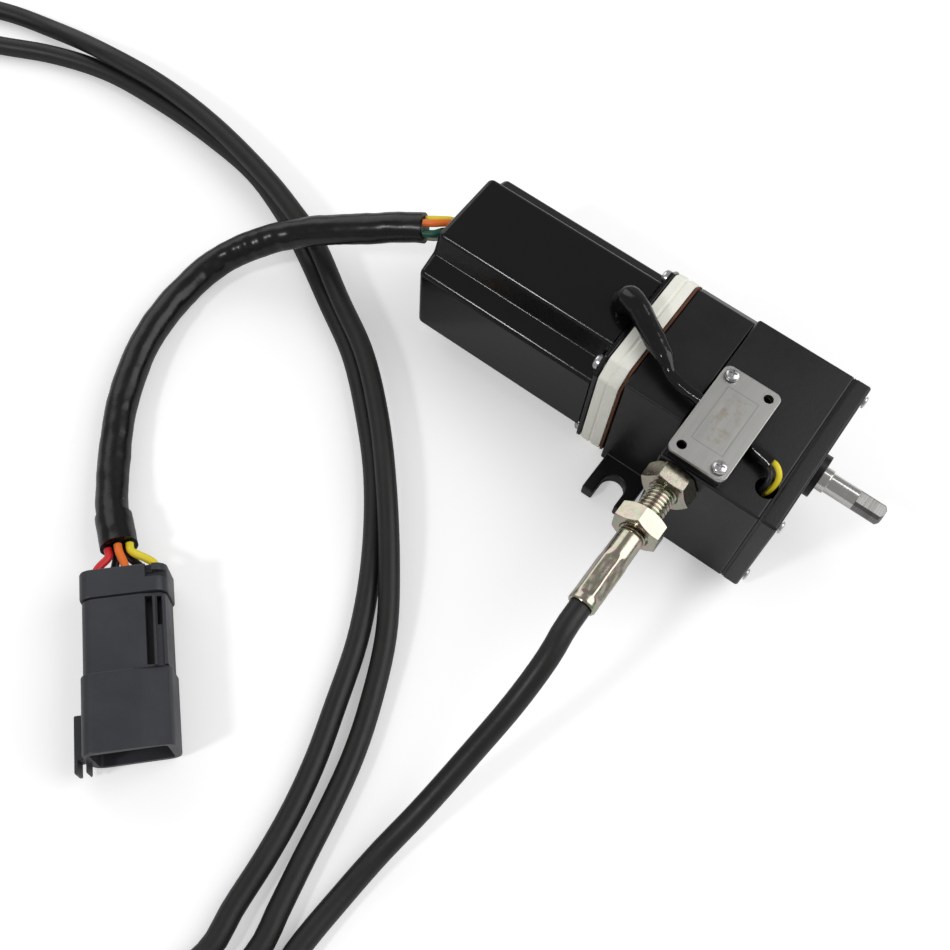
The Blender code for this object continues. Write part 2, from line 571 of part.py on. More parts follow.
# Idler: wheel and pinion in one piece on a fixed pin
rod("idler_pin", "X", inner_x - 0.0020 + GAP, second_end + 0.0012, -centres, mid, IDLER_PIN_RADIUS, STEEL, 16)
idler = prism("idler_gear", gear_outline(WHEEL_TEETH, math.pi / WHEEL_TEETH, -centres, mid, WHEEL_FLANK), "X",
              wheel_x, wheel_x + FIRST_STAGE_WIDTH, DARK_STEEL)
join(idler, prism("c", gear_outline(PINION_TEETH, math.pi / PINION_TEETH, -centres, mid), "X",
                  wheel_x + FIRST_STAGE_WIDTH - 0.0006, second_end))
cut(idler, rod("c", "X", wheel_x - 0.001, second_end + 0.001, -centres, mid,
               IDLER_PIN_RADIUS + RUNNING_FIT, sides=20))

# Output wheel and stepped output shaft with two flats
wheel = prism("output_gear", gear_outline(WHEEL_TEETH, math.pi, 0, mid, WHEEL_FLANK), "X", second_x, second_end, DARK_STEEL)
cut(wheel, rod("c", "X", second_x - 0.001, second_end + 0.001, 0, mid, SEAT_RADIUS + GAP))
step_x = boss_end + SHAFT_SHOULDER
flat_x = step_x + SHAFT_ROUND_LENGTH
tip_x = flat_x + SHAFT_FLAT_LENGTH
profile = ((second_x - 0.0004, 0), (second_x - 0.0004, SEAT_RADIUS), (second_end + 0.0005, SEAT_RADIUS),
           (second_end + 0.0005, SHAFT_RADIUS), (step_x, SHAFT_RADIUS), (step_x, SHAFT_STEP_RADIUS),
           (tip_x - 0.0008, SHAFT_STEP_RADIUS), (tip_x, SHAFT_STEP_RADIUS - 0.0008), (tip_x, 0))
shaft = turned("output_shaft", profile, "X", 0, mid, STEEL, 24)
for side in (-1, 1):
    low, high = sorted((side * SHAFT_FLATS / 2, side * 0.006))
    cut(shaft, box("c", (flat_x, -0.006, mid + low), (tip_x + 0.001, 0.006, mid + high)))

# End cover with its long shaft sleeve, two bushes and four screws
cover = box("end_cover", (cover_x, -HOUSING_NEAR, bottom), (cover_end, HOUSING_FAR, top), SATIN, bevel=0.0005)
sleeve_x = cover_x - COVER_SLEEVE_LENGTH
join(cover,
     rod("c", "X", cover_end - 0.001, boss_end, 0, mid, COVER_BOSS_RADIUS, sides=24),
     rod("c", "X", sleeve_x, cover_x + 0.001, 0, mid, COVER_SLEEVE_RADIUS, sides=22))
bush = SHAFT_RADIUS + GAP + BUSH_WALL
cut(cover, rod("c", "X", sleeve_x - 0.001, boss_end + 0.001, 0, mid, bush + GAP, sides=18))
pipe("bush_inner", "X", sleeve_x + GAP, sleeve_x + 0.0060, 0, mid, bush, SHAFT_RADIUS + GAP, BRASS, 16)
pipe("bush_outer", "X", boss_end - 0.0066, boss_end - 0.0006, 0, mid, bush, SHAFT_RADIUS + GAP, BRASS, 16)
for index, (y, z) in enumerate(posts):
    cut(cover, rod("c", "X", cover_x - 0.001, cover_end + 0.001, y, z, COVER_SCREW_RADIUS + GAP, sides=12))
    pan_screw(f"cover_screw_{index + 1}", cover_end + GAP, -1, y, z, COVER_SCREW_RADIUS, COVER_SCREW_HEAD,
              0.0014, cover_end - post_end + 0.0060, STEEL)

# Rack over the output wheel
step = math.pi * MODULE
tip_z = pitch_z - ADDENDUM * MODULE
lean = math.tan(PRESSURE_ANGLE)
half = step / 4 - BACKLASH / 4
outline = [(RACK_LENGTH - RACK_REST, rack_top), (-RACK_REST, rack_top), (-RACK_REST, root_z)]
first = math.ceil((-RACK_REST + step / 2) / step)
last = math.floor((RACK_LENGTH - RACK_REST - step / 4 - 0.0003) / step)
for k in range(first, last + 1):
    at_root = half + (root_z - pitch_z) * lean
    at_tip = half - (pitch_z - tip_z) * lean
    outline += [(k * step - at_root, root_z), (k * step - at_tip, tip_z),
                (k * step + at_tip, tip_z), (k * step + at_root, root_z)]
outline += [(RACK_LENGTH - RACK_REST, root_z)]
rack = prism("rack", outline, "X", second_x + 0.0001, second_end - 0.0001, DARK_STEEL)
join(rack, box("c", (inner_x + 0.0005, -RACK_REST, root_z + 0.0002),
               (second_x + 0.0006, RACK_LENGTH - RACK_REST, rack_top)))
cut(rack, rod("c", "Y", -RACK_REST - 0.001, 0.0060 - RACK_REST, CABLE_X, cable_z, WIRE_RADIUS + GAP, sides=16))
conduit_y = hub_y - GAP - HUB_NUT_THICKNESS * 2 - HUB_NUT_SPACE - HUB_SLEEVE_LENGTH + CONDUIT_GRIP
rod("inner_wire", "Y", conduit_y + 0.0012, 0.0055 - RACK_REST, CABLE_X, cable_z, WIRE_RADIUS,
    ((0.5, 0.5, 0.5), 0.4, 1), 12)

# Cable hub with its two nuts
nut_1 = hub_y - GAP
nut_2 = nut_1 - HUB_NUT_THICKNESS - HUB_NUT_SPACE
sleeve_y = nut_2 - HUB_NUT_THICKNESS
hub_end = sleeve_y - HUB_SLEEVE_LENGTH
profile = ((hub_y + HOUSING_WALL + 0.0005, WIRE_RADIUS + GAP), (hub_y + HOUSING_WALL + 0.0005, HUB_THREAD_RADIUS),
           (sleeve_y - GAP, HUB_THREAD_RADIUS), (sleeve_y - GAP, HUB_SLEEVE_RADIUS),
           (sleeve_y - 0.0080, HUB_SLEEVE_RADIUS), (sleeve_y - 0.0090, HUB_SWAGE_FLATS / 2),
           (hub_end, HUB_SWAGE_FLATS / 2), (hub_end, CONDUIT_RADIUS + GAP),
           (conduit_y + 0.0006, CONDUIT_RADIUS + GAP), (conduit_y + 0.0006, WIRE_RADIUS + GAP))
turned("cable_hub", profile, "Y", CABLE_X, cable_z, ZINC, 16, ring=True)
for name, start, turn in (("hub_nut_1", nut_1, 0.25), ("hub_nut_2", nut_2, 0.05)):
    nut = prism(name, hexagon(HUB_NUT_FLATS, CABLE_X, cable_z, turn), "Y",
                start - HUB_NUT_THICKNESS, start, ZINC)
    cut(nut, rod("c", "Y", start - 0.010, start + 0.001, CABLE_X, cable_z, HUB_THREAD_RADIUS + GAP))

# Long conduit, laid in two loops
swept("conduit", smooth_path(CONDUIT_POINTS, 0.0150), [CONDUIT_RADIUS] * len(CONDUIT_POINTS),
      ((0.014, 0.014, 0.015), 0.35, 0), 7)

# Far end of the cable: hub, nut and sliding rod
end = Vector(CONDUIT_POINTS[-1]) * 0.001
out = (end - Vector(CONDUIT_POINTS[-2]) * 0.001).normalized()
frame = Matrix.Translation(end) @ Matrix.Rotation(math.atan2(out.y, out.x), 4, "Z")
profile = ((-0.0190, CONDUIT_RADIUS + GAP), (-0.0190, HUB_SWAGE_FLATS / 2), (-0.0010, HUB_SWAGE_FLATS / 2),
           (0, HUB_SLEEVE_RADIUS), (0.0040, HUB_SLEEVE_RADIUS), (0.0040, HUB_THREAD_RADIUS),
           (FAR_STUD_LENGTH, HUB_THREAD_RADIUS), (FAR_STUD_LENGTH, FAR_ROD_RADIUS + GAP),
           (0.0006, FAR_ROD_RADIUS + GAP), (0.0006, CONDUIT_RADIUS + GAP))
far_hub = turned("far_hub", profile, "X", 0, 0, ZINC, 14, ring=True)
far_nut = prism("far_nut", hexagon(HUB_NUT_FLATS, 0, 0, math.pi / 6), "X", 0.0050, 0.0050 + HUB_NUT_THICKNESS, ZINC)
cut(far_nut, rod("c", "X", 0, 0.020, 0, 0, HUB_THREAD_RADIUS + GAP))
rod_low = 0.0012 + RACK_TRAVEL + 0.001
rod_high = FAR_STUD_LENGTH + FAR_ROD_REACH
profile = ((rod_low, 0), (rod_low, FAR_ROD_RADIUS), (rod_high - 0.0100, FAR_ROD_RADIUS),
           (rod_high - 0.0100, 0.0030), (rod_high, 0.0030), (rod_high, 0))
far_rod = turned("far_rod", profile, "X", 0, 0, STEEL, 16)
for item in (far_hub, far_nut, far_rod):
    item.data.transform(frame)

# Nameplate with two screws and two empty holes
plate_z = top + PAD_HEIGHT + GAP
corner = 0.0022
outline = []
for cx, cy, start in ((1, 1, 0), (-1, 1, 90), (-1, -1, 180), (1, -1, 270)):
    for k in range(4):
        t = math.radians(start + 30 * k)
        outline.append((PLATE_X + PLATE_WIDTH / 2 + cx * (PLATE_WIDTH / 2 - corner) + corner * math.cos(t),
                        PLATE_Y + PLATE_LENGTH / 2 + cy * (PLATE_LENGTH / 2 - corner) + corner * math.sin(t)))
nameplate = prism("nameplate", outline, "Z", plate_z, plate_z + PLATE_SHEET, ((0.55, 0.55, 0.53), 0.35, 1))
index = 0
for fx in (0, 1):
    for fy in (0, 1):
        x = PLATE_X + PLATE_HOLE_INSET + fx * (PLATE_WIDTH - 2 * PLATE_HOLE_INSET)
        y = PLATE_Y + PLATE_HOLE_INSET + fy * (PLATE_LENGTH - 2 * PLATE_HOLE_INSET)
        cut(nameplate, rod("c", "Z", plate_z - 0.001, plate_z + 0.002, x, y, PLATE_HOLE_RADIUS, sides=12))
        cut(housing, rod("c", "Z", top - 0.0005, plate_z + 0.001, x, y, PLATE_HOLE_RADIUS, sides=12))
        if fx != fy:
            index += 1
            pan_screw(f"plate_screw_{index}", plate_z + PLATE_SHEET + GAP, -1, x, y, PLATE_SCREW_RADIUS,
                      PLATE_SCREW_HEAD, 0.0013, 0.0046, STEEL, "Z")

# Position sensor, its two wires and the sleeved lead to the motor
sensor_x = second_end + 0.0020
box("position_sensor", (sensor_x, -centres - SENSOR_WIDTH * 0.68, mid - SENSOR_WIDTH / 2),
    (sensor_x + SENSOR_THICKNESS, -centres + SENSOR_WIDTH * 0.32, mid + SENSOR_WIDTH / 2),
    ((0.03, 0.1, 0.05), 0.5, 0), bevel=0.0005)
sensor_top = (mid + SENSOR_WIDTH / 2 + 2 * GAP) * 1000
swept("sensor_wire_yellow", smooth_path(((33.2, -21.5, 45.9), (35.2, -22.2, 46.5), (36.9, -23.4, 45.3),
                                         (37, -24.2, 42), (35.2, -24, sensor_top + 4),
                                         (34.9, -24, sensor_top)), 0.0018),
      [SENSOR_WIRE_RADIUS] * 6, YELLOW, 6)
swept("sensor_wire_black", smooth_path(((33, -23.4, 45.4), (34.2, -24.6, 45.6), (34.9, -25.3, 43.8),
                                        (34.9, -25.3, 40), (34.3, -25.5, sensor_top + 4),
                                        (34.1, -25.6, sensor_top)), 0.0018),
      [SENSOR_WIRE_RADIUS] * 6, BLACK, 6)
swept("sensor_lead", smooth_path(LEAD_POINTS, 0.0033), [r * 0.001 for r in LEAD_RADII], PVC, 10)

# Harness: wires at the motor, sleeve with its collar
sleeve = smooth_path(SLEEVE_POINTS, 0.0085)
swept("harness_sleeve", sleeve, [HARNESS_RADIUS] * len(SLEEVE_POINTS), PVC, 10)
collar_inner = HARNESS_RADIUS + 2 * GAP
swept("sleeve_collar", sleeve[-3:], [collar_inner + COLLAR_WALL] * len(SLEEVE_POINTS), PVC, 10, inner=collar_inner)
start = Vector(SLEEVE_POINTS[0])
heading = (Vector(SLEEVE_POINTS[1]) - start).normalized()
across = heading.cross(Vector((0, 0, 1))).normalized()
up = across.cross(heading)
for k, (name, look) in enumerate((("motor_wire_yellow", YELLOW), ("motor_wire_orange", ORANGE),
                                  ("motor_wire_green", GREEN), ("motor_wire_grey", GREY))):
    t = math.radians(25 + 70 * k)
    dy, dz = MOTOR_WIRE_SPREAD * math.cos(t), MOTOR_WIRE_SPREAD * math.sin(t)
    y, z = (WIRE_HOLE_Y + dy) * 1000, (WIRE_HOLE_Z + dz) * 1000
    at = start - heading * 0.4 + (across * dy + up * dz) * 1150
    before = at - heading * 3.2
    swept(name, smooth_path(((casing_rear * 1000 + 3, y, z), (casing_rear * 1000 - 1.5, y, z),
                             tuple(before), tuple(at)), 0.0020), [HARNESS_WIRE_RADIUS] * 4, look, 6)

# Connector: rear cap, body and shroud in its own frame, then turned into place
cap = box("connector_cap", (0, -CAP_WIDTH / 2, 0.0006), (CAP_LENGTH, CAP_WIDTH / 2, 0.0006 + CAP_HEIGHT),
          PLASTIC, bevel=0.0008)
body_x = CAP_LENGTH + GAP
shroud_x = body_x + BODY_LENGTH
shroud_end = shroud_x + SHROUD_LENGTH
connector = box("connector_body", (body_x, -BODY_WIDTH / 2, 0.0009), (shroud_x + 0.001, BODY_WIDTH / 2,
                0.0009 + BODY_HEIGHT), PLASTIC, bevel=0.0006)
join(connector,
     box("c", (shroud_x, -SHROUD_WIDTH / 2, 0.0003), (shroud_end, SHROUD_WIDTH / 2, 0.0003 + SHROUD_HEIGHT),
         bevel=0.0006),
     box("c", (shroud_end - 0.0125, -SHROUD_WIDTH / 2 - 0.0031, 0.0035),
         (shroud_end + 0.0026, -SHROUD_WIDTH / 2 + 0.0004, 0.0095)))
cut(connector,
    box("c", (shroud_end - SHROUD_DEPTH, -SHROUD_WIDTH / 2 + SHROUD_WALL, 0.0003 + SHROUD_WALL),
        (shroud_end + 0.001, SHROUD_WIDTH / 2 - SHROUD_WALL, 0.0003 + SHROUD_HEIGHT - SHROUD_WALL)),
    box("c", (body_x + 0.0008, 0.0058, 0.0009 + BODY_HEIGHT - 0.0015), (shroud_x - 0.0006, 0.0076, 0.020)),
    box("c", (body_x + 0.0010, 0.0089, 0.0009 + BODY_HEIGHT - 0.0015), (body_x + 0.0090, 0.0101, 0.020)))
for row in (0, 1):
    for column in (-1, 0, 1):
        cut(connector, rod("c", "X", shroud_end - SHROUD_DEPTH - 0.006, shroud_end - SHROUD_DEPTH + 0.001,
                           column * 0.0055, 0.0060 + row * 0.0058, 0.0011, sides=10))
frame = Matrix.Translation((CONNECTOR_X, CONNECTOR_Y, 0)) @ Matrix.Rotation(CONNECTOR_TURN, 4, "Z")
back = Vector(SLEEVE_POINTS[-1])
heading = (back - Vector(SLEEVE_POINTS[-2])).normalized()
across = Vector((0, 0, 1)).cross(heading).normalized()
wires = (("connector_wire_red", RED, -7.5, 10.5, -2.9, 1.1), ("connector_wire_black_1", BLACK, -4, 6.5, -1.6, -1.9),
         ("connector_wire_orange", ORANGE, 0, 11, 0, 2.3), ("connector_wire_black_2", BLACK, 4, 6.5, 1.6, -1.9),
         ("connector_wire_yellow", YELLOW, 7.5, 10.5, 2.9, 1.1))
for name, look, v, z, side, rise in wires:
    cut(cap, rod("c", "X", -0.001, 0.0042, v * 0.001, z * 0.001, HARNESS_WIRE_RADIUS + GAP, sides=12))
    begin = back + heading * 0.4 + across * side + Vector((0, 0, rise))
    leave = begin + heading * 2.2
    enter = frame @ Vector((-0.0018, v * 0.001, z * 0.001)) * 1000
    stop = frame @ Vector((0.0030, v * 0.001, z * 0.001)) * 1000
    swept(name, smooth_path((tuple(begin), tuple(leave), tuple(enter), tuple(stop)), 0.0020),
          [HARNESS_WIRE_RADIUS] * 4, look, 6)
cap.data.transform(frame)
connector.data.transform(frame)
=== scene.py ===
import math
import bmesh
import bpy
from mathutils import Matrix, Vector, noise


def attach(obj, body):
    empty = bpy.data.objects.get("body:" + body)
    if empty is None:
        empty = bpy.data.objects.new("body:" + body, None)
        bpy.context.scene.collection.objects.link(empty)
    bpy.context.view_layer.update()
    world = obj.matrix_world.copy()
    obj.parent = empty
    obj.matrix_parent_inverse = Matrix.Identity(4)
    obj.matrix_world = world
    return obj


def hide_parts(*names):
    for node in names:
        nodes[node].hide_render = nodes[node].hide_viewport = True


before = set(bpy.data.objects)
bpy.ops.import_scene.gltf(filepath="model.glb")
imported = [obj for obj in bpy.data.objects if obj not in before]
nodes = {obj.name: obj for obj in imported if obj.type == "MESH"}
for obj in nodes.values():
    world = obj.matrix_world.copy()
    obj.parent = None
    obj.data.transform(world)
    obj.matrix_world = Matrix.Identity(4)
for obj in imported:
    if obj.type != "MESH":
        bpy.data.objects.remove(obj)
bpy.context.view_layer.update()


# The studio: a sheet of white paper under the part, a broad lamp behind it, another at its left and a small
# one in front. The camera stands where the photograph was taken from, above the cable side.
bpy.ops.mesh.primitive_plane_add(size=6, location=(0, 0, -0.0002))
table = bpy.context.object
table.name = "studio_sheet"


def new_material(name):
    material = bpy.data.materials.new(name)
    material.use_nodes = True
    shader = material.node_tree.nodes["Principled BSDF"]
    return material, material.node_tree, shader


def add_node(tree, kind, **settings):
    node = tree.nodes.new(kind if kind.startswith("Node") else "ShaderNode" + kind)
    for key, value in settings.items():
        if key.startswith("in_"):
            socket = key[3:].replace("_", " ")
            node.inputs[int(socket) if socket.isdigit() else socket].default_value = value
        else:
            setattr(node, key, value)
    return node


def connect(tree, *links):
    for source, outlet, target, inlet in links:
        tree.links.new(source.outputs[outlet], target.inputs[inlet])


def shown_to_camera(tree, plain, shown, output):
    ray = add_node(tree, "LightPath")
    choose = add_node(tree, "MixShader")
    connect(tree, (ray, "Is Camera Ray", choose, "Fac"), (plain, 0, choose, 1), (shown, 0, choose, 2),
            (choose, 0, tree.nodes[output], "Surface"))


white = (1, 1, 1, 1)
paper, tree, shader = new_material("white_studio_sheet")
shader.inputs["Base Color"].default_value = (0.82, 0.82, 0.825, 1)
shader.inputs["Roughness"].default_value = 0.7
shader.inputs["Specular IOR Level"].default_value = 0.1
glow = add_node(tree, "Emission", in_Color=white, in_Strength=0.36)
glowing = add_node(tree, "AddShader")
connect(tree, (shader, 0, glowing, 0), (glow, 0, glowing, 1))
shown_to_camera(tree, shader, glowing, "Material Output")
table.data.materials.append(paper)

world = bpy.data.worlds.new("studio_air")
bpy.context.scene.world = world
world.use_nodes = True
tree = world.node_tree
room = tree.nodes["Background"]
room.inputs["Color"].default_value = white
room.inputs["Strength"].default_value = 0.32
backdrop = add_node(tree, "Background", in_Color=white, in_Strength=1.0)
shown_to_camera(tree, room, backdrop, "World Output")

for name, place, aim, size, power in (
        ("main_lamp", (0.60, 0.45, 0.75), (-0.02, 0, 0), 1.0, 7.5),
        ("edge_lamp", (-0.33, -0.75, 0.74), (-0.03, 0, 0.04), 0.12, 2.4),
        ("left_lamp", (-0.95, 0.25, 0.60), (-0.05, -0.05, 0.0), 0.8, 2.6)):
    turn = (Vector(place) - Vector(aim)).to_track_quat("Z", "Y").to_euler()
    bpy.ops.object.light_add(type="AREA", location=place, rotation=turn)
    lamp = bpy.context.object
    lamp.name = name
    lamp.data.size = size
    lamp.data.energy = power

aim = (Matrix.Rotation(math.radians(28.76), 3, "Z") @ Matrix.Rotation(math.radians(25.83), 3, "X")
       @ Matrix.Rotation(math.radians(7.97), 3, "Z"))
bpy.ops.object.camera_add(location=(0.0374, -0.1787, 0.3078), rotation=aim.to_euler())
camera = bpy.context.object
camera.data.sensor_width = 36
camera.data.lens = 44.96
camera.data.clip_start = 0.01
bpy.context.scene.camera = camera
bpy.context.scene.view_settings.view_transform = "Standard"


# The cable conduit: a steel core in a black polymer jacket, 5.9 mm thick and about 2.1 m long.
# It leaves the crimped sleeve, falls to the table and lies there in two wide turns.
def smooth_route(points, spacing):
    pts = [Vector(p) * 0.001 for p in points]
    pts = [2 * pts[0] - pts[1]] + pts + [2 * pts[-1] - pts[-2]]
    fine = []
    for i in range(1, len(pts) - 2):
        p0, p1, p2, p3 = pts[i - 1:i + 3]
        t1 = (p1 - p0).length ** 0.5
        t2 = t1 + (p2 - p1).length ** 0.5
        t3 = t2 + (p3 - p2).length ** 0.5
        for k in range(12):
            t = t1 + (t2 - t1) * k / 12
            a1 = p0.lerp(p1, t / t1)
            a2 = p1.lerp(p2, (t - t1) / (t2 - t1))
            a3 = p2.lerp(p3, (t - t2) / (t3 - t2))
            b1 = a1.lerp(a2, t / t2)
            b2 = a2.lerp(a3, (t - t1) / (t3 - t1))
            fine.append((b1.lerp(b2, (t - t1) / (t2 - t1)), i - 1 + k / 12))
    fine.append((pts[-2], len(pts) - 3))
    length = sum((fine[i + 1][0] - fine[i][0]).length for i in range(len(fine) - 1))
    count = max(2, round(length / spacing))
    route, gone, i = [fine[0]], 0.0, 0
    for k in range(1, count):
        goal = length * k / count
        while gone + (fine[i + 1][0] - fine[i][0]).length < goal:
            gone += (fine[i + 1][0] - fine[i][0]).length
            i += 1
        f = (goal - gone) / (fine[i + 1][0] - fine[i][0]).length
        route.append((fine[i][0].lerp(fine[i + 1][0], f), fine[i][1] * (1 - f) + fine[i + 1][1] * f))
    return route + [fine[-1]], length


def linked(name, data):
    piece = bpy.data.objects.new(name, data)
    bpy.context.collection.objects.link(piece)
    return piece


def laid_curve(name, route, radius):
    data = bpy.data.curves.new(name, "CURVE")
    data.dimensions = "3D"
    data.bevel_depth = radius
    data.bevel_resolution = 5
    data.use_fill_caps = True
    spline = data.splines.new("POLY")
    spline.points.add(len(route) - 1)
    for point, (place, _) in zip(spline.points, route):
        point.co = (*place, 1)
    return linked(name, data)


conduit_points = (
    (15.4, -57.3, 37.9), (15.4, -67, 37.9), (15.4, -78, 37.9), (15.5, -84, 37.7), (16.1, -91, 35.8),
    (15.6, -102.8, 29.5), (13.4, -117.9, 18.8), (10.8, -134.3, 9), (8.5, -147.8, 4.6), (7.2, -160.7, 3.1),
    (6.3, -175, 3.1), (6.5, -186, 3.1), (3, -206, 3.1), (-12, -236, 3.1), (-42, -263, 3.1),
    (-84, -280, 3.1), (-132, -286, 3.1), (-182, -280, 3.1), (-230, -262, 3.1), (-272, -233, 3.1),
    (-305, -193, 3.1), (-324, -147, 3.1), (-328, -100, 3.1), (-318, -55, 3.1), (-296, -23, 3.1),
    (-264.6, -6.4, 3.1), (-244.8, -1.3, 3.1), (-219, -1.5, 9), (-196.3, -0.3, 9.2), (-171.4, -2.6, 9.5),
    (-143.9, -8.6, 9.5), (-128.9, -13.5, 9.4), (-117.5, -17.8, 8.8), (-97.8, -29.8, 8.9), (-81.4, -39.5, 8.7),
    (-64.9, -53.6, 8.6), (-51.1, -68.1, 8.5), (-36.1, -86, 7.1), (-24.5, -102.3, 4.4), (-15.9, -120.7, 3.1),
    (-11.4, -133.4, 3.1), (-8.2, -146.6, 3.1), (-5.7, -159.4, 3.1), (-3.1, -171.7, 3.1), (-1, -181.8, 3.1),
    (-3, -196, 3.1), (-14, -220, 3.1), (-40, -244, 3.1), (-80, -262, 3.1), (-130, -269, 3.1),
    (-180, -263, 3.1), (-226, -246, 3.1), (-264, -218, 3.1), (-293, -180, 3.1), (-308, -138, 3.1),
    (-309, -95, 3.1), (-299, -57, 3.1), (-279, -30, 3.1), (-253.2, -17.6, 3.1), (-236.7, -9.5, 3.1),
    (-218, -3.9, 3.1), (-195.5, -2.4, 3.1), (-171.9, -3.3, 3.1), (-152.4, -6, 3.1), (-134.9, -12.4, 3.1),
    (-122.7, -18.4, 3.1), (-103.1, -29.8, 3.1), (-86.1, -39.9, 3.1), (-69.5, -53.9, 3.1), (-55.4, -68.2, 3.1),
    (-40.9, -87.7, 3.1), (-30.4, -106.6, 3.1), (-23.1, -126.1, 3.1), (-18.7, -138.9, 3.1), (-15.4, -151.9, 3.1),
    (-13.3, -165, 3.1), (-12, -178.2, 3.1), (-10.5, -189, 3.1), (-15.5, -203, 3.1), (-31, -219, 3.6),
    (-52, -229, 6.4), (-66, -233.6, 7.9), (-78, -237.1, 7.9), (-98, -242.93, 7.9))
route, conduit_length = smooth_route(conduit_points, 0.0035)
conduit = laid_curve("cable_conduit", route, 0.00295)


def spread(tree, low, high, at_low, at_high):
    return add_node(tree, "MapRange", in_1=low, in_2=high, in_3=at_low, in_4=at_high)


def colour_mix(tree, second, first=(0, 0, 0)):
    return add_node(tree, "Mix", data_type="RGBA", in_6=(*first, 1), in_7=(*second, 1))


def new_group(name, inlets, outlets):
    tree = bpy.data.node_groups.new(name, "ShaderNodeTree")
    for way, sockets in (("INPUT", inlets), ("OUTPUT", outlets)):
        for socket in sockets:
            kind = "NodeSocketVector" if socket in ("Vector", "Normal") else "NodeSocketFloat"
            tree.interface.new_socket(socket, in_out=way, socket_type=kind)
    return tree, add_node(tree, "NodeGroupInput"), add_node(tree, "NodeGroupOutput")


moulded_skin, given, result = new_group("moulded_skin", ("Vector", "Grain", "Depth", "Cloud"),
                                        ("Normal", "Tone", "Specks"))
grain = add_node(moulded_skin, "TexNoise", in_Detail=3.0, in_Roughness=0.6)
cloud = add_node(moulded_skin, "TexNoise", in_Detail=4.0, in_Roughness=0.65)
cells = add_node(moulded_skin, "TexVoronoi", in_Scale=260.0)
speck = spread(moulded_skin, 0.035, 0.075, 1.0, 0.0)
rare = add_node(moulded_skin, "Math", operation="GREATER_THAN", in_1=0.82)
chosen = add_node(moulded_skin, "Math", operation="MULTIPLY")
bump = add_node(moulded_skin, "Bump", in_Strength=1.0)
connect(moulded_skin, (given, "Vector", grain, "Vector"), (given, "Vector", cloud, "Vector"),
        (given, "Vector", cells, "Vector"), (given, "Grain", grain, "Scale"), (given, "Cloud", cloud, "Scale"),
        (given, "Depth", bump, "Distance"), (grain, "Fac", bump, "Height"), (cells, "Distance", speck, "Value"),
        (cells, "Color", rare, 0), (speck, 0, chosen, 0), (rare, 0, chosen, 1),
        (bump, "Normal", result, "Normal"), (cloud, "Fac", result, "Tone"), (chosen, 0, result, "Specks"))


def skinned(name, dark, light, rough, grain, depth, cloud=60.0, dust=0.0, dust_colour=(0.5, 0.49, 0.46)):
    material, tree, shader = new_material(name)
    shader.inputs["Specular IOR Level"].default_value = 0.38
    place = add_node(tree, "TexCoord")
    skin = add_node(tree, "Group", node_tree=moulded_skin, in_Grain=grain, in_Depth=depth, in_Cloud=cloud)
    tone = colour_mix(tree, light, dark)
    dusty = colour_mix(tree, dust_colour)
    much = add_node(tree, "Math", operation="MULTIPLY", in_1=dust)
    polish = spread(tree, 0.3, 0.7, *rough)
    connect(tree, (place, "Object", skin, "Vector"), (skin, "Tone", tone, "Factor"),
            (skin, "Tone", polish, "Value"), (tone, 2, dusty, 6), (skin, "Specks", much, 0),
            (much, 0, dusty, "Factor"), (dusty, 2, shader, "Base Color"), (polish, 0, shader, "Roughness"),
            (skin, "Normal", shader, "Normal"))
    return material


def coat(piece, material):
    piece.data.materials.clear()
    piece.data.materials.append(material)


def stand_in(piece, body, node):
    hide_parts(node)
    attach(piece, body)


jacket = skinned("conduit_jacket", (0.010, 0.0094, 0.009), (0.020, 0.0186, 0.0175), (0.38, 0.50), 700.0, 0.00006,
                 cloud=90.0, dust=0.25)
coat(conduit, jacket)
stand_in(conduit, "housing", "conduit")


# The harness sleeve: soft black tube shrunk over the motor's wires, 9 mm thick, creased where it bends.
# A second, slightly wider piece laps over its end by the connector.
def select_only(piece):
    bpy.ops.object.select_all(action="DESELECT")
    piece.select_set(True)
    bpy.context.view_layer.objects.active = piece


def new_piece(name, builder):
    mesh = bpy.data.meshes.new(name)
    builder.to_mesh(mesh)
    builder.free()
    return linked(name, mesh)


def turns(sides):
    return [2 * math.pi * k / sides for k in range(sides)]


def join_rows(builder, rows, sides):
    for one, two in zip(rows, rows[1:]):
        for k in range(sides):
            n = (k + 1) % sides
            ring = dict.fromkeys((one[k % len(one)], one[n % len(one)], two[n % len(two)], two[k % len(two)]))
            if len(ring) > 2:
                builder.faces.new(tuple(ring))


def tube_along(name, route, radius_at, sides=28, inner=None):
    points = [place for place, _ in route]
    last = len(points) - 1
    builder = bmesh.new()
    side = (points[1] - points[0]).orthogonal().normalized()
    rows = []
    for i, point in enumerate(points):
        tangent = (points[min(i + 1, last)] - points[max(i - 1, 0)]).normalized()
        side = (side - tangent * side.dot(tangent)).normalized()
        other = tangent.cross(side)
        row = []
        for turn in turns(sides):
            out = side * math.cos(turn) + other * math.sin(turn)
            row.append(builder.verts.new(point + out * radius_at(route[i][1], turn, point + out * 0.004, out)))
        rows.append(row)
    if inner:
        for i in (last, 0):
            centre = points[i]
            rows.append([builder.verts.new(centre + (v.co - centre).normalized() * inner) for v in rows[i]])
        rows.append(rows[0])
    join_rows(builder, rows, sides)
    if not inner:
        builder.faces.new(rows[0])
        builder.faces.new(rows[-1])
    bmesh.ops.recalc_face_normals(builder, faces=builder.faces)
    return new_piece(name, builder)


def smooth(piece, angle=40):
    select_only(piece)
    bpy.ops.object.shade_smooth_by_angle(angle=math.radians(angle))
    modifier = piece.modifiers.new("Weighted normals", "WEIGHTED_NORMAL")
    modifier.keep_sharp = True
    modifier.weight = 90
    bpy.ops.object.modifier_apply(modifier=modifier.name)


def fit(piece, material, body, node, angle=40):
    coat(piece, material)
    smooth(piece, angle)
    stand_in(piece, body, node)


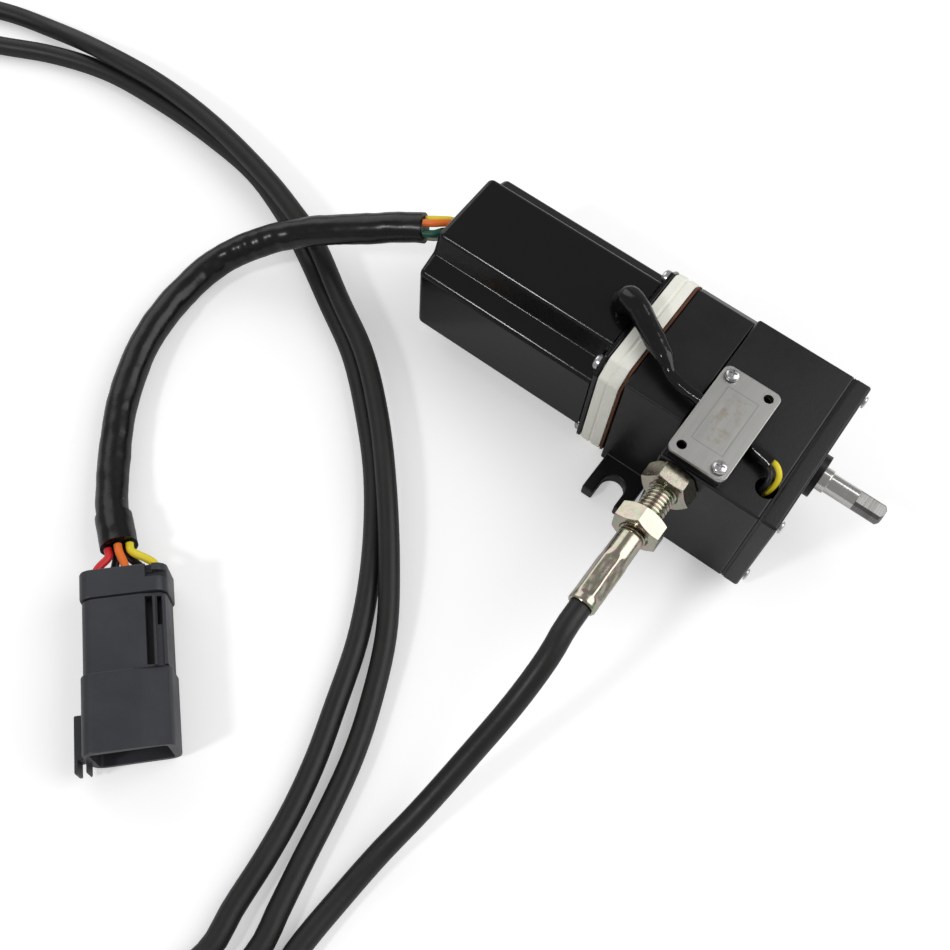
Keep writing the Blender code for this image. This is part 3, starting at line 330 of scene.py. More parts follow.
sleeve_points = (
    (-83.8, -7.7, 33), (-91, -10.9, 30.8), (-98.6, -14.7, 27.8), (-108.4, -18.8, 23.4), (-118.2, -23, 18.2),
    (-126.3, -28.6, 13.8), (-132.7, -34.6, 9.8), (-137.2, -42.5, 6.4), (-138.8, -51.3, 4.9),
    (-136.3, -71.7, 4.8), (-128.1, -91, 4.8), (-117, -106.8, 4.9), (-107.7, -117.4, 5.9),
    (-101.5, -122.6, 7.1), (-95.4, -127, 8.2))
creases = ((4.2, 0.5, 0.00036, 0.22), (4.7, 0.2, 0.00072, 0.16), (5.15, 0.7, 0.00048, 0.14),
           (5.6, 0.3, 0.00078, 0.15), (6.1, 0.6, 0.00054, 0.16), (6.6, 0.1, 0.00066, 0.2),
           (7.4, 0.4, 0.00036, 0.22), (8.3, 0.2, 0.00024, 0.2))
inside_of_bend = Vector((-0.098, -0.072, 0.030))


def sleeve_radius(where, turn, spot, out):
    radius = 0.0044 + noise.noise(spot * 160) * 0.00022 + noise.noise(spot * 420) * 0.00008
    inward = (inside_of_bend - spot).normalized()
    for middle, lift, depth, width in creases:
        facing = max(0.0, out.dot((inward + Vector((0, 0, lift))).normalized()))
        radius -= depth * math.exp(-((where - middle) / width) ** 2) * facing ** 2
    return radius


def collar_radius(where, turn, spot, out):
    return 0.0050 + noise.noise(spot * 300) * 0.0002


sleeve_route, sleeve_length = smooth_route(sleeve_points, 0.0009)
sleeve = tube_along("harness_tube", sleeve_route, sleeve_radius, sides=40)
pvc = skinned("black_pvc", (0.0035, 0.0035, 0.004), (0.0065, 0.0065, 0.0075), (0.21, 0.33), 380.0, 0.00006,
              cloud=120.0, dust=0.2)
fit(sleeve, pvc, "housing", "harness_sleeve", 60)
end_route = [item for item in sleeve_route if item[1] >= 12.65]
collar = tube_along("lapped_sleeve", end_route, collar_radius, sides=40, inner=0.0045)
fit(collar, pvc, "housing", "sleeve_collar", 60)


# The wires of the harness: copper strands in coloured plastic, 2.2 mm thick, bare for a few millimetres
# between the sleeve's ends and the motor's rear wall or the connector's cap.
insulations = {}
for tint, colour in (("yellow", (0.90, 0.74, 0.03)), ("orange", (0.92, 0.20, 0.03)), ("red", (0.72, 0.02, 0.025)),
                     ("green", (0.010, 0.10, 0.06)), ("grey", (0.42, 0.40, 0.34)),
                     ("black", (0.012, 0.012, 0.013))):
    insulations[tint] = skinned(tint + "_insulation", [c * 0.86 for c in colour], colour, (0.30, 0.42), 900.0,
                                0.00002, cloud=150.0)


def lay_wire(name, points, radius, tint, node):
    wire = laid_curve(name, smooth_route(points, 0.0004)[0], radius)
    coat(wire, insulations[tint])
    stand_in(wire, "housing", node)
    return wire


casing_rear = -0.0760
exit_y, exit_z = -0.0040, 0.0345
wire_radius, wire_circle = 0.0011, 0.0022
start = Vector(sleeve_points[0])
heading = (Vector(sleeve_points[1]) - start).normalized()
across = heading.cross(Vector((0, 0, 1))).normalized()
rise = across.cross(heading)
for k, tint in enumerate(("yellow", "orange", "green", "grey")):
    turn = math.radians(25 + 70 * k)
    dy, dz = wire_circle * math.cos(turn), wire_circle * math.sin(turn)
    y, z = (exit_y + dy) * 1000, (exit_z + dz) * 1000
    at = start - heading * 0.4 + (across * dy + rise * dz) * 1150
    points = ((casing_rear * 1000 + 3, y, z), (casing_rear * 1000 - 1.5, y, z), at - heading * 3.2, at)
    lay_wire("motor_lead_" + tint, points, wire_radius, tint, "motor_wire_" + tint)

plug_place = Matrix.Translation((-0.0877, -0.1320, 0)) @ Matrix.Rotation(math.radians(-45.2), 4, "Z")
plug_wires = (("red", "red", -7.5, 10.5, -2.9, 1.1), ("black_1", "black", -4, 6.5, -1.6, -1.9),
              ("orange", "orange", 0, 11, 0, 2.3), ("black_2", "black", 4, 6.5, 1.6, -1.9),
              ("yellow", "yellow", 7.5, 10.5, 2.9, 1.1))
back = Vector(sleeve_points[-1])
heading = (back - Vector(sleeve_points[-2])).normalized()
across = Vector((0, 0, 1)).cross(heading).normalized()
for name, tint, v, z, side, lift in plug_wires:
    begin = back + heading * 0.4 + across * side + Vector((0, 0, lift))
    enter, stop = (plug_place @ Vector((x, v * 0.001, z * 0.001)) * 1000 for x in (-0.0018, 0.0030))
    lay_wire("plug_lead_" + name, (begin, begin + heading * 2.2, enter, stop), wire_radius, tint,
                          "connector_wire_" + name)


# The motor's can: drawn and machined steel, square with a step along each of its four corners,
# in thick black enamel that rounds every edge. The wires come out of a hole in its rear wall.
def rounded_outline(corners, steps=4):
    points = []
    count = len(corners)
    for i, (x, y, radius) in enumerate(corners):
        here = Vector((x, y))
        before = (Vector(corners[i - 1][:2]) - here).normalized()
        after = (Vector(corners[(i + 1) % count][:2]) - here).normalized()
        half = before.angle(after) / 2
        reach = radius / math.tan(half)
        centre = here + (before + after).normalized() * (radius / math.sin(half))
        first = here + before * reach - centre
        second = here + after * reach - centre
        for k in range(steps + 1):
            spoke = first.slerp(second, k / steps)
            points.append(tuple(centre + spoke.normalized() * radius))
    return points


def edited(piece, *steps):
    select_only(piece)
    bpy.ops.object.mode_set(mode="EDIT")
    for operator, settings in steps:
        bpy.ops.mesh.select_all(action="SELECT")
        operator(**settings)
    bpy.ops.object.mode_set(mode="OBJECT")


def on_axis(axis, along, across):
    number = "XYZ".index(axis)
    return (*across[:number], along, *across[number:])


def slab(name, outline, low, high, axis="X"):
    builder = bmesh.new()
    builder.faces.new([builder.verts.new(on_axis(axis, low, corner)) for corner in outline])
    piece = new_piece(name, builder)
    edited(piece, (bpy.ops.mesh.extrude_region_move,
                   {"TRANSFORM_OT_translate": {"value": on_axis(axis, high - low, (0, 0))}}),
           (bpy.ops.mesh.normals_make_consistent, {"inside": False}))
    return piece


def round_edges(piece, wanted, radius, segments=3):
    select_only(piece)
    bpy.ops.object.mode_set(mode="EDIT")
    bpy.ops.mesh.select_mode(type="EDGE")
    bpy.ops.mesh.select_all(action="DESELECT")
    builder = bmesh.from_edit_mesh(piece.data)
    for edge in builder.edges:
        if wanted(*(v.co for v in edge.verts)):
            edge.select_set(True)
    bmesh.update_edit_mesh(piece.data)
    bpy.ops.mesh.bevel(offset=radius, segments=segments, profile=0.5, affect="EDGES")
    bpy.ops.object.mode_set(mode="OBJECT")


def apply_modifier(piece, kind, **settings):
    select_only(piece)
    modifier = piece.modifiers.new(kind.title(), kind)
    for key, value in settings.items():
        setattr(modifier, key, value)
    bpy.ops.object.modifier_apply(modifier=modifier.name)


def shape_with(piece, tool, operation="DIFFERENCE"):
    apply_modifier(piece, "BOOLEAN", object=tool, operation=operation, solver="EXACT")
    bpy.data.objects.remove(tool)


def bar(radius, start, end, sides=32):
    start, end = Vector(start), Vector(end)
    turn = (end - start).to_track_quat("Z", "Y").to_euler()
    bpy.ops.mesh.primitive_cylinder_add(vertices=sides, radius=radius, depth=(end - start).length,
                                        location=(start + end) / 2, rotation=turn)
    bpy.ops.object.transform_apply(location=True, rotation=True, scale=True)
    return bpy.context.object


def block(low, high):
    low, high = Vector(low), Vector(high)
    bpy.ops.mesh.primitive_cube_add(size=1, location=(low + high) / 2, scale=high - low)
    bpy.ops.object.transform_apply(location=True, rotation=True, scale=True)
    return bpy.context.object


axis_z = 0.0213


def drill(piece, radius, start, end, y=0, z=axis_z, sides=32):
    shape_with(piece, bar(radius, (start, y, z), (end, y, z), sides))


casing_front = -0.0182
can_half, step_half, step_root = 0.02115, 0.0123, 0.0149
corners = []
for quarter in range(4):
    for a, b, radius in ((can_half, -step_half, 0.0019), (can_half, step_half, 0.0019),
                         (step_root, step_root, 0.0009)):
        for _ in range(quarter):
            a, b = -b, a
        corners.append((a, b + axis_z, radius))
casing = slab("motor_can", rounded_outline(corners), casing_rear, casing_front)
round_edges(casing, lambda p, q: max(p.x, q.x) < casing_rear + 1e-6, 0.0018, 5)
bearing_bore = 0.0083
bore = bar(0.0176, (casing_rear + 0.0070, 0, axis_z), (0, 0, axis_z), 48)
shape_with(bore, bar(bearing_bore, (casing_rear + 0.0025, 0, axis_z), (casing_rear + 0.02, 0, axis_z), 40), "UNION")
shape_with(casing, bore)
drill(casing, 0.0037, casing_rear - 0.01, casing_rear + 0.01, exit_y, exit_z)
shape_with(casing, bar(0.0036, (-0.0222, 0, axis_z + 0.010), (-0.0222, 0, axis_z + 0.03)))
enamel = skinned("black_enamel", (0.0025, 0.0025, 0.0028), (0.0045, 0.0045, 0.005), (0.13, 0.20), 420.0, 0.00003,
                 cloud=45.0, dust=0.5)
fit(casing, enamel, "housing", "motor_casing")


# The can's front plate: pressed steel in the same enamel, with the front bearing's seat behind it
# and a turned pilot ahead. Its chamfered corners stand out past the can, where the screws go through.
gap = 0.0003
plate_x = casing_front + gap
plate_half, corner = 0.0212, 0.0045


def chamfered_corners(half, radius):
    return [(a, b + axis_z, radius) for a, b in (
        (-half, corner - half), (corner - half, -half), (half - corner, -half), (half, corner - half),
        (half, half - corner), (half - corner, half), (corner - half, half), (-half, half - corner))]


def turned(name, profile, sides=48, axis="X", centre=(0.0, 0.0)):
    builder = bmesh.new()
    rows = []
    for along, radius in profile:
        spots = [(centre[0] + radius * math.cos(turn), centre[1] + radius * math.sin(turn))
                 for turn in turns(sides if radius > 1e-7 else 1)]
        rows.append([builder.verts.new(on_axis(axis, along, spot)) for spot in spots])
    if profile[0][1] > 1e-7:
        rows.append(rows[0])
    join_rows(builder, rows, sides)
    bmesh.ops.recalc_face_normals(builder, faces=builder.faces)
    return new_piece(name, builder)


def soften(piece, width, segments, angle=30, clamp=True):
    apply_modifier(piece, "BEVEL", width=width, segments=segments, limit_method="ANGLE",
                   angle_limit=math.radians(angle), use_clamp_overlap=clamp)


seat = plate_x - gap - 0.0042 - 0.0008
sheet_end, pilot_end = plate_x + 0.0012, plate_x + 0.0030
front = turned("front_plate_seat", ((seat, 0.0030), (seat, 0.0173), (plate_x, 0.0173), (plate_x, 0.0156),
                                    (sheet_end, 0.0156), (sheet_end, 0.0110), (pilot_end, 0.0110),
                                    (pilot_end, 0.0030)), centre=(0, axis_z))
sheet = slab("front_sheet", rounded_outline(chamfered_corners(plate_half, 0.0008)), plate_x, sheet_end)
soften(sheet, 0.00025, 2)
drill(sheet, 0.0140, -0.05, 0.02, sides=44)
shape_with(front, sheet, "UNION")
drill(front, bearing_bore, seat - 0.01, seat + 0.0045, sides=40)
screw_offset, screw_hole = 0.0172, 0.00155
screw_spots = [(dy, axis_z + dz) for dy in (-screw_offset, screw_offset) for dz in (screw_offset, -screw_offset)]
for y, z in screw_spots:
    drill(front, screw_hole, plate_x - 0.001, plate_x + 0.003, y, z, 20)
fit(front, enamel, "housing", "front_plate")


# The mounting flange: a cream painted casting with a parting line round its rim, left a little uneven
# by the mould. A thin red-brown fibre gasket behind it is cut by hand and shows a ragged edge.
flange_x = plate_x + 0.0015
flange = slab("cast_flange", rounded_outline(chamfered_corners(plate_half, 0.0014), 5), flange_x, flange_x + 0.0064)
edited(flange, *((bpy.ops.mesh.bisect, {"plane_co": (flange_x + along, 0, 0), "plane_no": (1, 0, 0)})
                 for along in (0.0026, 0.0030, 0.0034, 0.0038)))
soften(flange, 0.0004, 2)
for vertex in flange.data.vertices:
    along = vertex.co.x - flange_x
    out = Vector((0, vertex.co.y, vertex.co.z - axis_z))
    ridge = -0.00030 if 0.0029 < along < 0.0035 else (0.0001 if 0.0025 < along < 0.0039 else 0.0)
    vertex.co += out.normalized() * (ridge + noise.noise(vertex.co * 90) * 0.00010)
drill(flange, 0.0113, -0.05, 0.02, sides=48)
for y, z in screw_spots:
    drill(flange, screw_hole, -0.03, 0, y, z, 20)
cream = skinned("cream_paint", (0.86, 0.85, 0.75), (0.95, 0.945, 0.88), (0.42, 0.6), 260.0, 0.00014, cloud=130.0,
                dust=0.45, dust_colour=(0.30, 0.27, 0.20))
fit(flange, cream, "housing", "mounting_flange", 35)

gasket_x = flange_x + 0.0067
gasket = slab("fibre_gasket", rounded_outline(chamfered_corners(0.0211, 0.0012), 4), gasket_x, gasket_x + 0.0006)
edited(gasket, (bpy.ops.mesh.subdivide, {"number_cuts": 4}))
for vertex in gasket.data.vertices:
    out = Vector((0, vertex.co.y, vertex.co.z - axis_z))
    if out.length > 0.0195:
        vertex.co += out.normalized() * (0.0001 + noise.noise(vertex.co * 260) * 0.0003)
drill(gasket, 0.0165, -0.05, 0.02, sides=48)
for y, z in screw_spots:
    drill(gasket, screw_hole, -0.03, 0, y, z, 16)
fibre = skinned("gasket_fibre", (0.05, 0.02, 0.01), (0.17, 0.062, 0.028), (0.75, 0.9), 1500.0, 0.0001, cloud=300.0)
fit(gasket, fibre, "housing", "gasket")


# The adapter: a machined casting in satin black powder coat between flange and gearbox. Its base is
# flat, and a slotted foot stands out on either side for the two mounting screws.
def merged_copy(node, name):
    piece = linked(name, nodes[node].data.copy())
    edited(piece, (bpy.ops.mesh.remove_doubles, {"threshold": 0.00001}),
           (bpy.ops.mesh.dissolve_limited, {"angle_limit": math.radians(0.6)}))
    return piece


adapter = merged_copy("adapter_housing", "adapter_casting")
soften(adapter, 0.00045, 3, 40, clamp=False)
powder = skinned("black_powder_coat", (0.005, 0.005, 0.0053), (0.009, 0.009, 0.0095), (0.28, 0.40), 1300.0, 0.00003,
                 cloud=50.0, dust=0.55)
fit(adapter, powder, "housing", "adapter_housing")


# The screws: zinc plated pan heads with a cross recess. Four hold plate and flange to the adapter,
# four hold the end cover, and two hold the nameplate.
def cross_screw(name, head, height, shank, length, turn):
    screw = turned(name, ((0, 0), (0, head), (height * 0.45, head), (height * 0.72, head * 0.9),
                          (height * 0.92, head * 0.66), (height, head * 0.3), (height, 0)), 40, "Z")
    for quarter in (0, 90):
        arm = block((-head * 0.56, -head * 0.115, height * 0.35), (head * 0.56, head * 0.115, height + 0.001))
        arm.data.transform(Matrix.Rotation(math.radians(turn + quarter), 4, "Z"))
        shape_with(screw, arm)
    shape_with(screw, bar(shank, (0, 0, -length), (0, 0, height * 0.2), 24), "UNION")
    soften(screw, head * 0.02, 1)
    return screw


def stand_screws(pattern, name, node, axis, places):
    turn = Vector(axis).to_track_quat("Z", "Y").to_matrix().to_4x4()
    for number, place in enumerate(places, 1):
        piece = linked(f"{name}_{number}", pattern.data.copy())
        piece.data.transform(Matrix.Translation(place) @ turn)
        fit(piece, plated, "housing", f"{node}_{number}", 35)
    bpy.data.objects.remove(pattern)


worked_metal, given, result = new_group("worked_metal", ("Vector", "Lines", "Depth", "Cloud"),
                                        ("Normal", "Tone", "Stain"))
streaks = add_node(worked_metal, "TexNoise", in_Detail=2.0, in_Roughness=0.7)
cloud = add_node(worked_metal, "TexNoise", in_Detail=5.0, in_Roughness=0.6)
stain = spread(worked_metal, 0.52, 0.72, 0.0, 1.0)
bump = add_node(worked_metal, "Bump", in_Strength=1.0)
connect(worked_metal, (given, "Vector", streaks, "Vector"), (given, "Vector", cloud, "Vector"),
        (given, "Lines", streaks, "Scale"), (given, "Cloud", cloud, "Scale"), (given, "Depth", bump, "Distance"),
        (streaks, "Fac", bump, "Height"), (streaks, "Fac", result, "Tone"), (bump, "Normal", result, "Normal"),
        (cloud, "Fac", stain, "Value"), (stain, 0, result, "Stain"))


def bare_metal(name, rough, stretch=(1, 1, 1), lines=600.0, depth=0.00002, cloud=120.0):
    material, tree, shader = new_material(name)
    shader.inputs["Metallic"].default_value = 1.0
    place = add_node(tree, "TexCoord")
    turn = add_node(tree, "Mapping", in_Scale=stretch)
    work = add_node(tree, "Group", node_tree=worked_metal, in_Lines=lines, in_Depth=depth, in_Cloud=cloud)
    polish = spread(tree, 0.3, 0.7, *rough)
    connect(tree, (place, "Object", turn, "Vector"), (turn, "Vector", work, "Vector"),
            (work, "Tone", polish, "Value"), (polish, 0, shader, "Roughness"), (work, "Normal", shader, "Normal"))
    return material, tree, shader, place, work


def metal(name, dark, light, stained, rough, **surface):
    material, tree, shader, _, work = bare_metal(name, rough, **surface)
    tone = colour_mix(tree, light, dark)
    tinted = colour_mix(tree, stained)
    connect(tree, (work, "Tone", tone, "Factor"), (tone, 2, tinted, 6), (work, "Stain", tinted, "Factor"),
            (tinted, 2, shader, "Base Color"))
    return material


plated = metal("bright_zinc", (0.55, 0.55, 0.56), (0.72, 0.72, 0.73), (0.45, 0.45, 0.46), (0.2, 0.34), lines=2500.0)
stand_screws(cross_screw("pan_screw", 0.0022, 0.0019, 0.00125, 0.0155 - 0.0019, 20), "flange_bolt", "flange_screw",
             (-1, 0, 0), [(casing_front, y, z) for y, z in screw_spots])


# Inside the motor: laminated stator with enamelled coils, rotor, ground shaft, two ball bearings and the
# coupling to the pinion shaft. They are closed in, so the CAD solids stay and get their metals.
ground = metal("ground_steel", (0.50, 0.50, 0.51), (0.66, 0.66, 0.67), (0.42, 0.42, 0.43), (0.16, 0.3),
               stretch=(1, 0.1, 0.1), lines=1800.0)
dark_steel = metal("oiled_steel", (0.16, 0.16, 0.17), (0.30, 0.30, 0.31), (0.11, 0.10, 0.09), (0.3, 0.48),
                   lines=900.0, depth=0.00004)
laminations = metal("laminated_steel", (0.14, 0.14, 0.15), (0.32, 0.32, 0.33), (0.10, 0.09, 0.08), (0.35, 0.55),
                    stretch=(1, 0.03, 0.03), lines=2200.0, depth=0.00008)
copper = metal("enamelled_copper", (0.52, 0.20, 0.08), (0.78, 0.36, 0.16), (0.30, 0.10, 0.04), (0.2, 0.4),
               stretch=(1, 0.2, 0.2), lines=1500.0, depth=0.0001)
bronze = metal("sintered_bronze", (0.46, 0.30, 0.12), (0.66, 0.46, 0.22), (0.30, 0.20, 0.10), (0.4, 0.55),
               lines=1600.0, depth=0.00004)
light_alloy = metal("turned_alloy", (0.58, 0.58, 0.60), (0.74, 0.74, 0.76), (0.5, 0.5, 0.52), (0.25, 0.4),
                    stretch=(1, 0.05, 0.05), lines=1500.0, depth=0.00004)
for node, material in (("stator_core", laminations), ("winding", copper), ("rotor", laminations),
                       ("motor_shaft", ground), ("bearing_rear", ground), ("bearing_front", ground),
                       ("shaft_coupling", light_alloy), ("pinion_bearing", ground), ("pinion_shaft", ground),
                       ("idler_pin", ground), ("idler_gear", dark_steel), ("output_gear", dark_steel),
                       ("bush_inner", bronze), ("bush_outer", bronze), ("rack", dark_steel)):
    coat(nodes[node], material)


# The gearbox: a machined housing offset to the cable side, with a raised pad for the nameplate, and an
# end cover with a round boss, both in satin black. A strip of packing closes the fine joint between them.
gearbox = merged_copy("gear_housing", "gearbox_housing")
soften(gearbox, 0.00020, 2, 35, clamp=False)
fit(gearbox, powder, "housing", "gear_housing")
cover = merged_copy("end_cover", "gearbox_cover")
soften(cover, 0.00020, 2, 35, clamp=False)
near_y, far_y, top_z, bottom_z = -0.0334, 0.0182, 0.0433, 0.0043
cover_start, cover_end = 0.0391, 0.0438
packing = block((cover_start - 0.00035, near_y + gap, bottom_z + gap),
                (cover_start + 0.0002, far_y - gap, top_z - gap))
shape_with(packing, block((0, near_y + 0.003, bottom_z + 0.003), (0.05, far_y - 0.003, top_z - 0.003)))
shape_with(cover, packing, "UNION")
fit(cover, powder, "housing", "end_cover")
inset = 0.0032
stand_screws(cross_screw("cover_screw", 0.0017, 0.0007, 0.0012, 0.0104, 35), "cover_bolt", "cover_screw", (1, 0, 0),
             [(cover_end + gap, near_y + inset, top_z - inset), (cover_end + gap, near_y + inset, bottom_z + inset),
              (cover_end + gap, far_y - inset, top_z - inset), (cover_end + gap, far_y - inset, bottom_z + inset)])


# The output shaft: bare turned steel, stepped down once past the cover's boss, with two milled flats
# and a chamfered tip for the governor's lever.
second_x, second_end, step_x = 0.0193, 0.0268, 0.0486
flat_x = step_x + 0.0085
tip_x = flat_x + 0.0083
output = turned("output_spindle", ((second_x - 0.0004, 0), (second_x - 0.0004, 0.0040), (second_end, 0.0040),
                                   (second_end, 0.0035), (step_x - 0.0002, 0.0035), (step_x, 0.0033),
                                   (step_x, 0.0030), (tip_x - 0.0008, 0.0030), (tip_x - 0.0002, 0.0024),
                                   (tip_x, 0.0021), (tip_x, 0)), 64, centre=(0, axis_z))
for side in (-1, 1):
    low, high = sorted((side * 0.0023, side * 0.006))
    shape_with(output, block((flat_x, -0.006, axis_z + low), (tip_x + 0.001, 0.006, axis_z + high)))
soften(output, 0.00010, 1, 38, clamp=False)
spindle_steel = metal("turned_steel", (0.56, 0.55, 0.54), (0.70, 0.69, 0.67), (0.46, 0.45, 0.42), (0.13, 0.24),
                      stretch=(1, 0.04, 0.04), lines=2600.0, depth=0.000015, cloud=300.0)
# Painted shade: past the start of the flats the steel's colour is multiplied by about a third, with faint milling
# lines in it, so the milled flats and tip look darker.
tree = spindle_steel.node_tree
shader = tree.nodes["Principled BSDF"]
tinted = shader.inputs["Base Color"].links[0].from_node
place = add_node(tree, "TexCoord")
parts = add_node(tree, "SeparateXYZ")
along = add_node(tree, "Math", operation="GREATER_THAN", in_1=flat_x)
mill = add_node(tree, "TexWave", in_Scale=420.0, in_Distortion=1.2, in_Detail=2.0)
shade = spread(tree, 0.0, 1.0, 0.36, 0.32)
flat_shade_factor = spread(tree, 0.0, 1.0, 1.0, 1.0)
painted_flat_shade = add_node(tree, "Mix", data_type="RGBA", blend_type="MULTIPLY", in_Factor=1.0)
connect(tree, (place, "Object", parts, 0), (place, "Object", mill, "Vector"), (parts, "X", along, 0),
        (mill, "Fac", shade, "Value"), (along, 0, flat_shade_factor, "Value"), (shade, 0, flat_shade_factor, 4), (tinted, 2, painted_flat_shade, 6),
        (flat_shade_factor, 0, painted_flat_shade, 7), (painted_flat_shade, 2, shader, "Base Color"))
fit(output, spindle_steel, "output", "output_shaft", 30)


# The nameplate: satin stainless sheet with its print left off, only the faint etched border and some
# browning from handling. Two screws hold it at opposite corners, and the other two holes are empty.
plate_top = top_z + 0.0041 + gap
west, east, south, north = 0.0100, 0.0268, -0.0334, -0.0028
plate_corners = [(x, y, 0.0021) for x, y in ((west, south), (east, south), (east, north), (west, north))]
plate = slab("stainless_plate", rounded_outline(plate_corners, 8), plate_top, plate_top + 0.0010, "Z")
round_edges(plate, lambda p, q: min(p.z, q.z) > plate_top + 0.0009, 0.00022, 3)
inset = 0.0029
plate_holes = [(west + inset, north - inset), (east - inset, south + inset), (east - inset, north - inset),
               (west + inset, south + inset)]
for x, y in plate_holes:
    shape_with(plate, bar(0.00135, (x, y, plate_top - 0.001), (x, y, plate_top + 0.002), 28))
stainless, tree, shader, place, work = bare_metal("satin_stainless", (0.34, 0.46), stretch=(1.0, 0.03, 1.0),
                                                  lines=2600.0, depth=0.000012, cloud=60.0)
tone = colour_mix(tree, (0.49, 0.485, 0.47), (0.40, 0.395, 0.38))
centred = add_node(tree, "Mapping", in_Location=(-0.01825, 0.0180, 0), vector_type="POINT")
parts = add_node(tree, "SeparateXYZ")
border = add_node(tree, "Math", operation="MAXIMUM")
for number, (axis, half) in enumerate((("X", 0.0045), ("Y", 0.0092))):
    size = add_node(tree, "Math", operation="ABSOLUTE")
    edge = add_node(tree, "Math", operation="SUBTRACT", in_1=half)
    connect(tree, (parts, axis, size, 0), (size, 0, edge, 0), (edge, 0, border, number))
off_line = add_node(tree, "Math", operation="ABSOLUTE")
line = spread(tree, 0.00008, 0.00022, 0.30, 0.0)
inside = spread(tree, -0.0022, -0.0005, 1.0, 0.0)
patches = add_node(tree, "TexNoise", in_Scale=420.0, in_Detail=4.0)
patch = spread(tree, 0.48, 0.66, 0.0, 0.55)
browned = add_node(tree, "Math", operation="MULTIPLY")
etched = colour_mix(tree, (0.12, 0.11, 0.10))
brown = colour_mix(tree, (0.36, 0.29, 0.19))
connect(tree, (work, "Tone", tone, "Factor"), (place, "Object", centred, "Vector"), (centred, "Vector", parts, 0),
        (border, 0, off_line, 0), (off_line, 0, line, "Value"), (border, 0, inside, "Value"),
        (place, "Object", patches, "Vector"), (patches, "Fac", patch, "Value"), (patch, 0, browned, 0),
        (inside, 0, browned, 1), (tone, 2, etched, 6), (line, 0, etched, "Factor"), (etched, 2, brown, 6),
        (browned, 0, brown, "Factor"), (brown, 2, shader, "Base Color"))
fit(plate, stainless, "housing", "nameplate")
stand_screws(cross_screw("plate_screw", 0.0019, 0.0013, 0.0011, 0.0046, 15), "plate_bolt", "plate_screw", (0, 0, 1),
             [(x, y, plate_top + 0.0013) for x, y in plate_holes[:2]])


# The position sensor and its lead: a moulded block on the gearbox wall, a thin yellow and a thin black
# wire, and a glossy shrink sleeve that carries them under the nameplate and over the flange to the motor.
sensor_block = skinned("sensor_moulding", (0.010, 0.045, 0.022), (0.018, 0.065, 0.034), (0.4, 0.55), 900.0, 0.00004)
coat(nodes["position_sensor"], sensor_block)
lead_points = (
    (-22.2, 0, 39.4), (-22.2, 0, 43.6), (-21, -0.4, 46.2), (-17.8, -1.9, 47), (-13.8, -4.2, 46.6),
    (-9, -7.1, 46.3), (-4.5, -9.9, 46), (-0.6, -12.6, 45.1), (3.9, -14, 45.2), (8.1, -14.6, 45.6),
    (16, -16.2, 45.6), (25, -17.8, 45.5), (33.6, -19.6, 45.6))
lead_radii = (3.4, 4.0, 3.7, 3.2, 3.1, 3, 2.7, 1.8, 1.8, 1.7, 1.7, 1.9, 2.05)
lead_route = smooth_route(lead_points, 0.0004)[0]


def lead_radius(where, turn, spot, out):
    low = min(int(where), len(lead_radii) - 2)
    radius = lead_radii[low] + (lead_radii[low + 1] - lead_radii[low]) * (where - low)
    pinch = 0.35 * math.exp(-((where - 6.6) / 0.35) ** 2) * (0.5 + 0.5 * math.cos(2 * turn))
    if where > 12.6:
        radius *= 1 - 0.35 * (where - 12.6) / 0.4
    folds = max(0.0, 1 - where / 3.6) * (0.00055 * abs(noise.noise(spot * 330)) - 0.0001) * 1.6
    return (radius - pinch) * 0.001 - folds + noise.noise(spot * 260) * 0.00016 + noise.noise(spot * 700) * 0.00005


lead = tube_along("shrink_sleeve_lead", lead_route, lead_radius, sides=36)
shrink = skinned("shrink_sleeve", (0.004, 0.004, 0.0045), (0.008, 0.008, 0.009), (0.08, 0.18), 240.0, 0.00012,
                 cloud=110.0, dust=0.3)
fit(lead, shrink, "housing", "sensor_lead", 60)
sensor_top = (axis_z + 0.0095 + 0.0006) * 1000
for tint, points in (
        ("yellow", ((32.8, -18.9, 45.9), (35.0, -19.6, 46.3), (36.9, -21.2, 45.2), (37, -23.4, 42),
                    (35.2, -24, sensor_top + 4), (34.9, -24, sensor_top))),
        ("black", ((32.6, -20.6, 45.4), (34.6, -22.2, 46.0), (35.4, -24.3, 44.6), (34.9, -25.3, 40),
                   (34.3, -25.5, sensor_top + 4), (34.1, -25.6, sensor_top)))):
    lay_wire("sensor_conductor_" + tint, points, 0.0008, tint, "sensor_wire_" + tint)


# The cable hub: a yellow zinc plated stud screwed into the gearbox wall, with one hexagon nut against the
# wall and one against the sleeve, which is crimped to a hexagon over the end of the conduit.
zinc, tree, shader, place, work = bare_metal("yellow_zinc_plate", (0.14, 0.28), lines=700.0, depth=0.000012,
                                             cloud=200.0)
film = add_node(tree, "TexNoise", in_Scale=210.0, in_Detail=3.0, in_Distortion=0.6)
tints = add_node(tree, "ValToRGB")
ramp = tints.color_ramp.elements
ramp[0].position, ramp[0].color = 0.25, (0.38, 0.37, 0.28, 1)
ramp[1].position, ramp[1].color = 0.75, (0.50, 0.48, 0.39, 1)
for position, colour in ((0.40, (0.48, 0.46, 0.35, 1)), (0.50, (0.50, 0.40, 0.36, 1)),
                         (0.58, (0.40, 0.44, 0.33, 1))):
    ramp.new(position).color = colour
scuffed = colour_mix(tree, (0.38, 0.37, 0.32))
connect(tree, (place, "Object", film, "Vector"), (film, "Fac", tints, "Fac"), (tints, "Color", scuffed, 6),
        (work, "Stain", scuffed, "Factor"), (scuffed, 2, shader, "Base Color"))

cable_x, cable_z = 0.0154, 0.0379
nut_1 = near_y - gap
nut_height, nut_space = 0.0065, 0.0071
nut_2 = nut_1 - nut_height - nut_space
sleeve_y = nut_2 - nut_height
thread_radius, thread_pitch, thread_depth = 0.0038, 0.00115, 0.00062


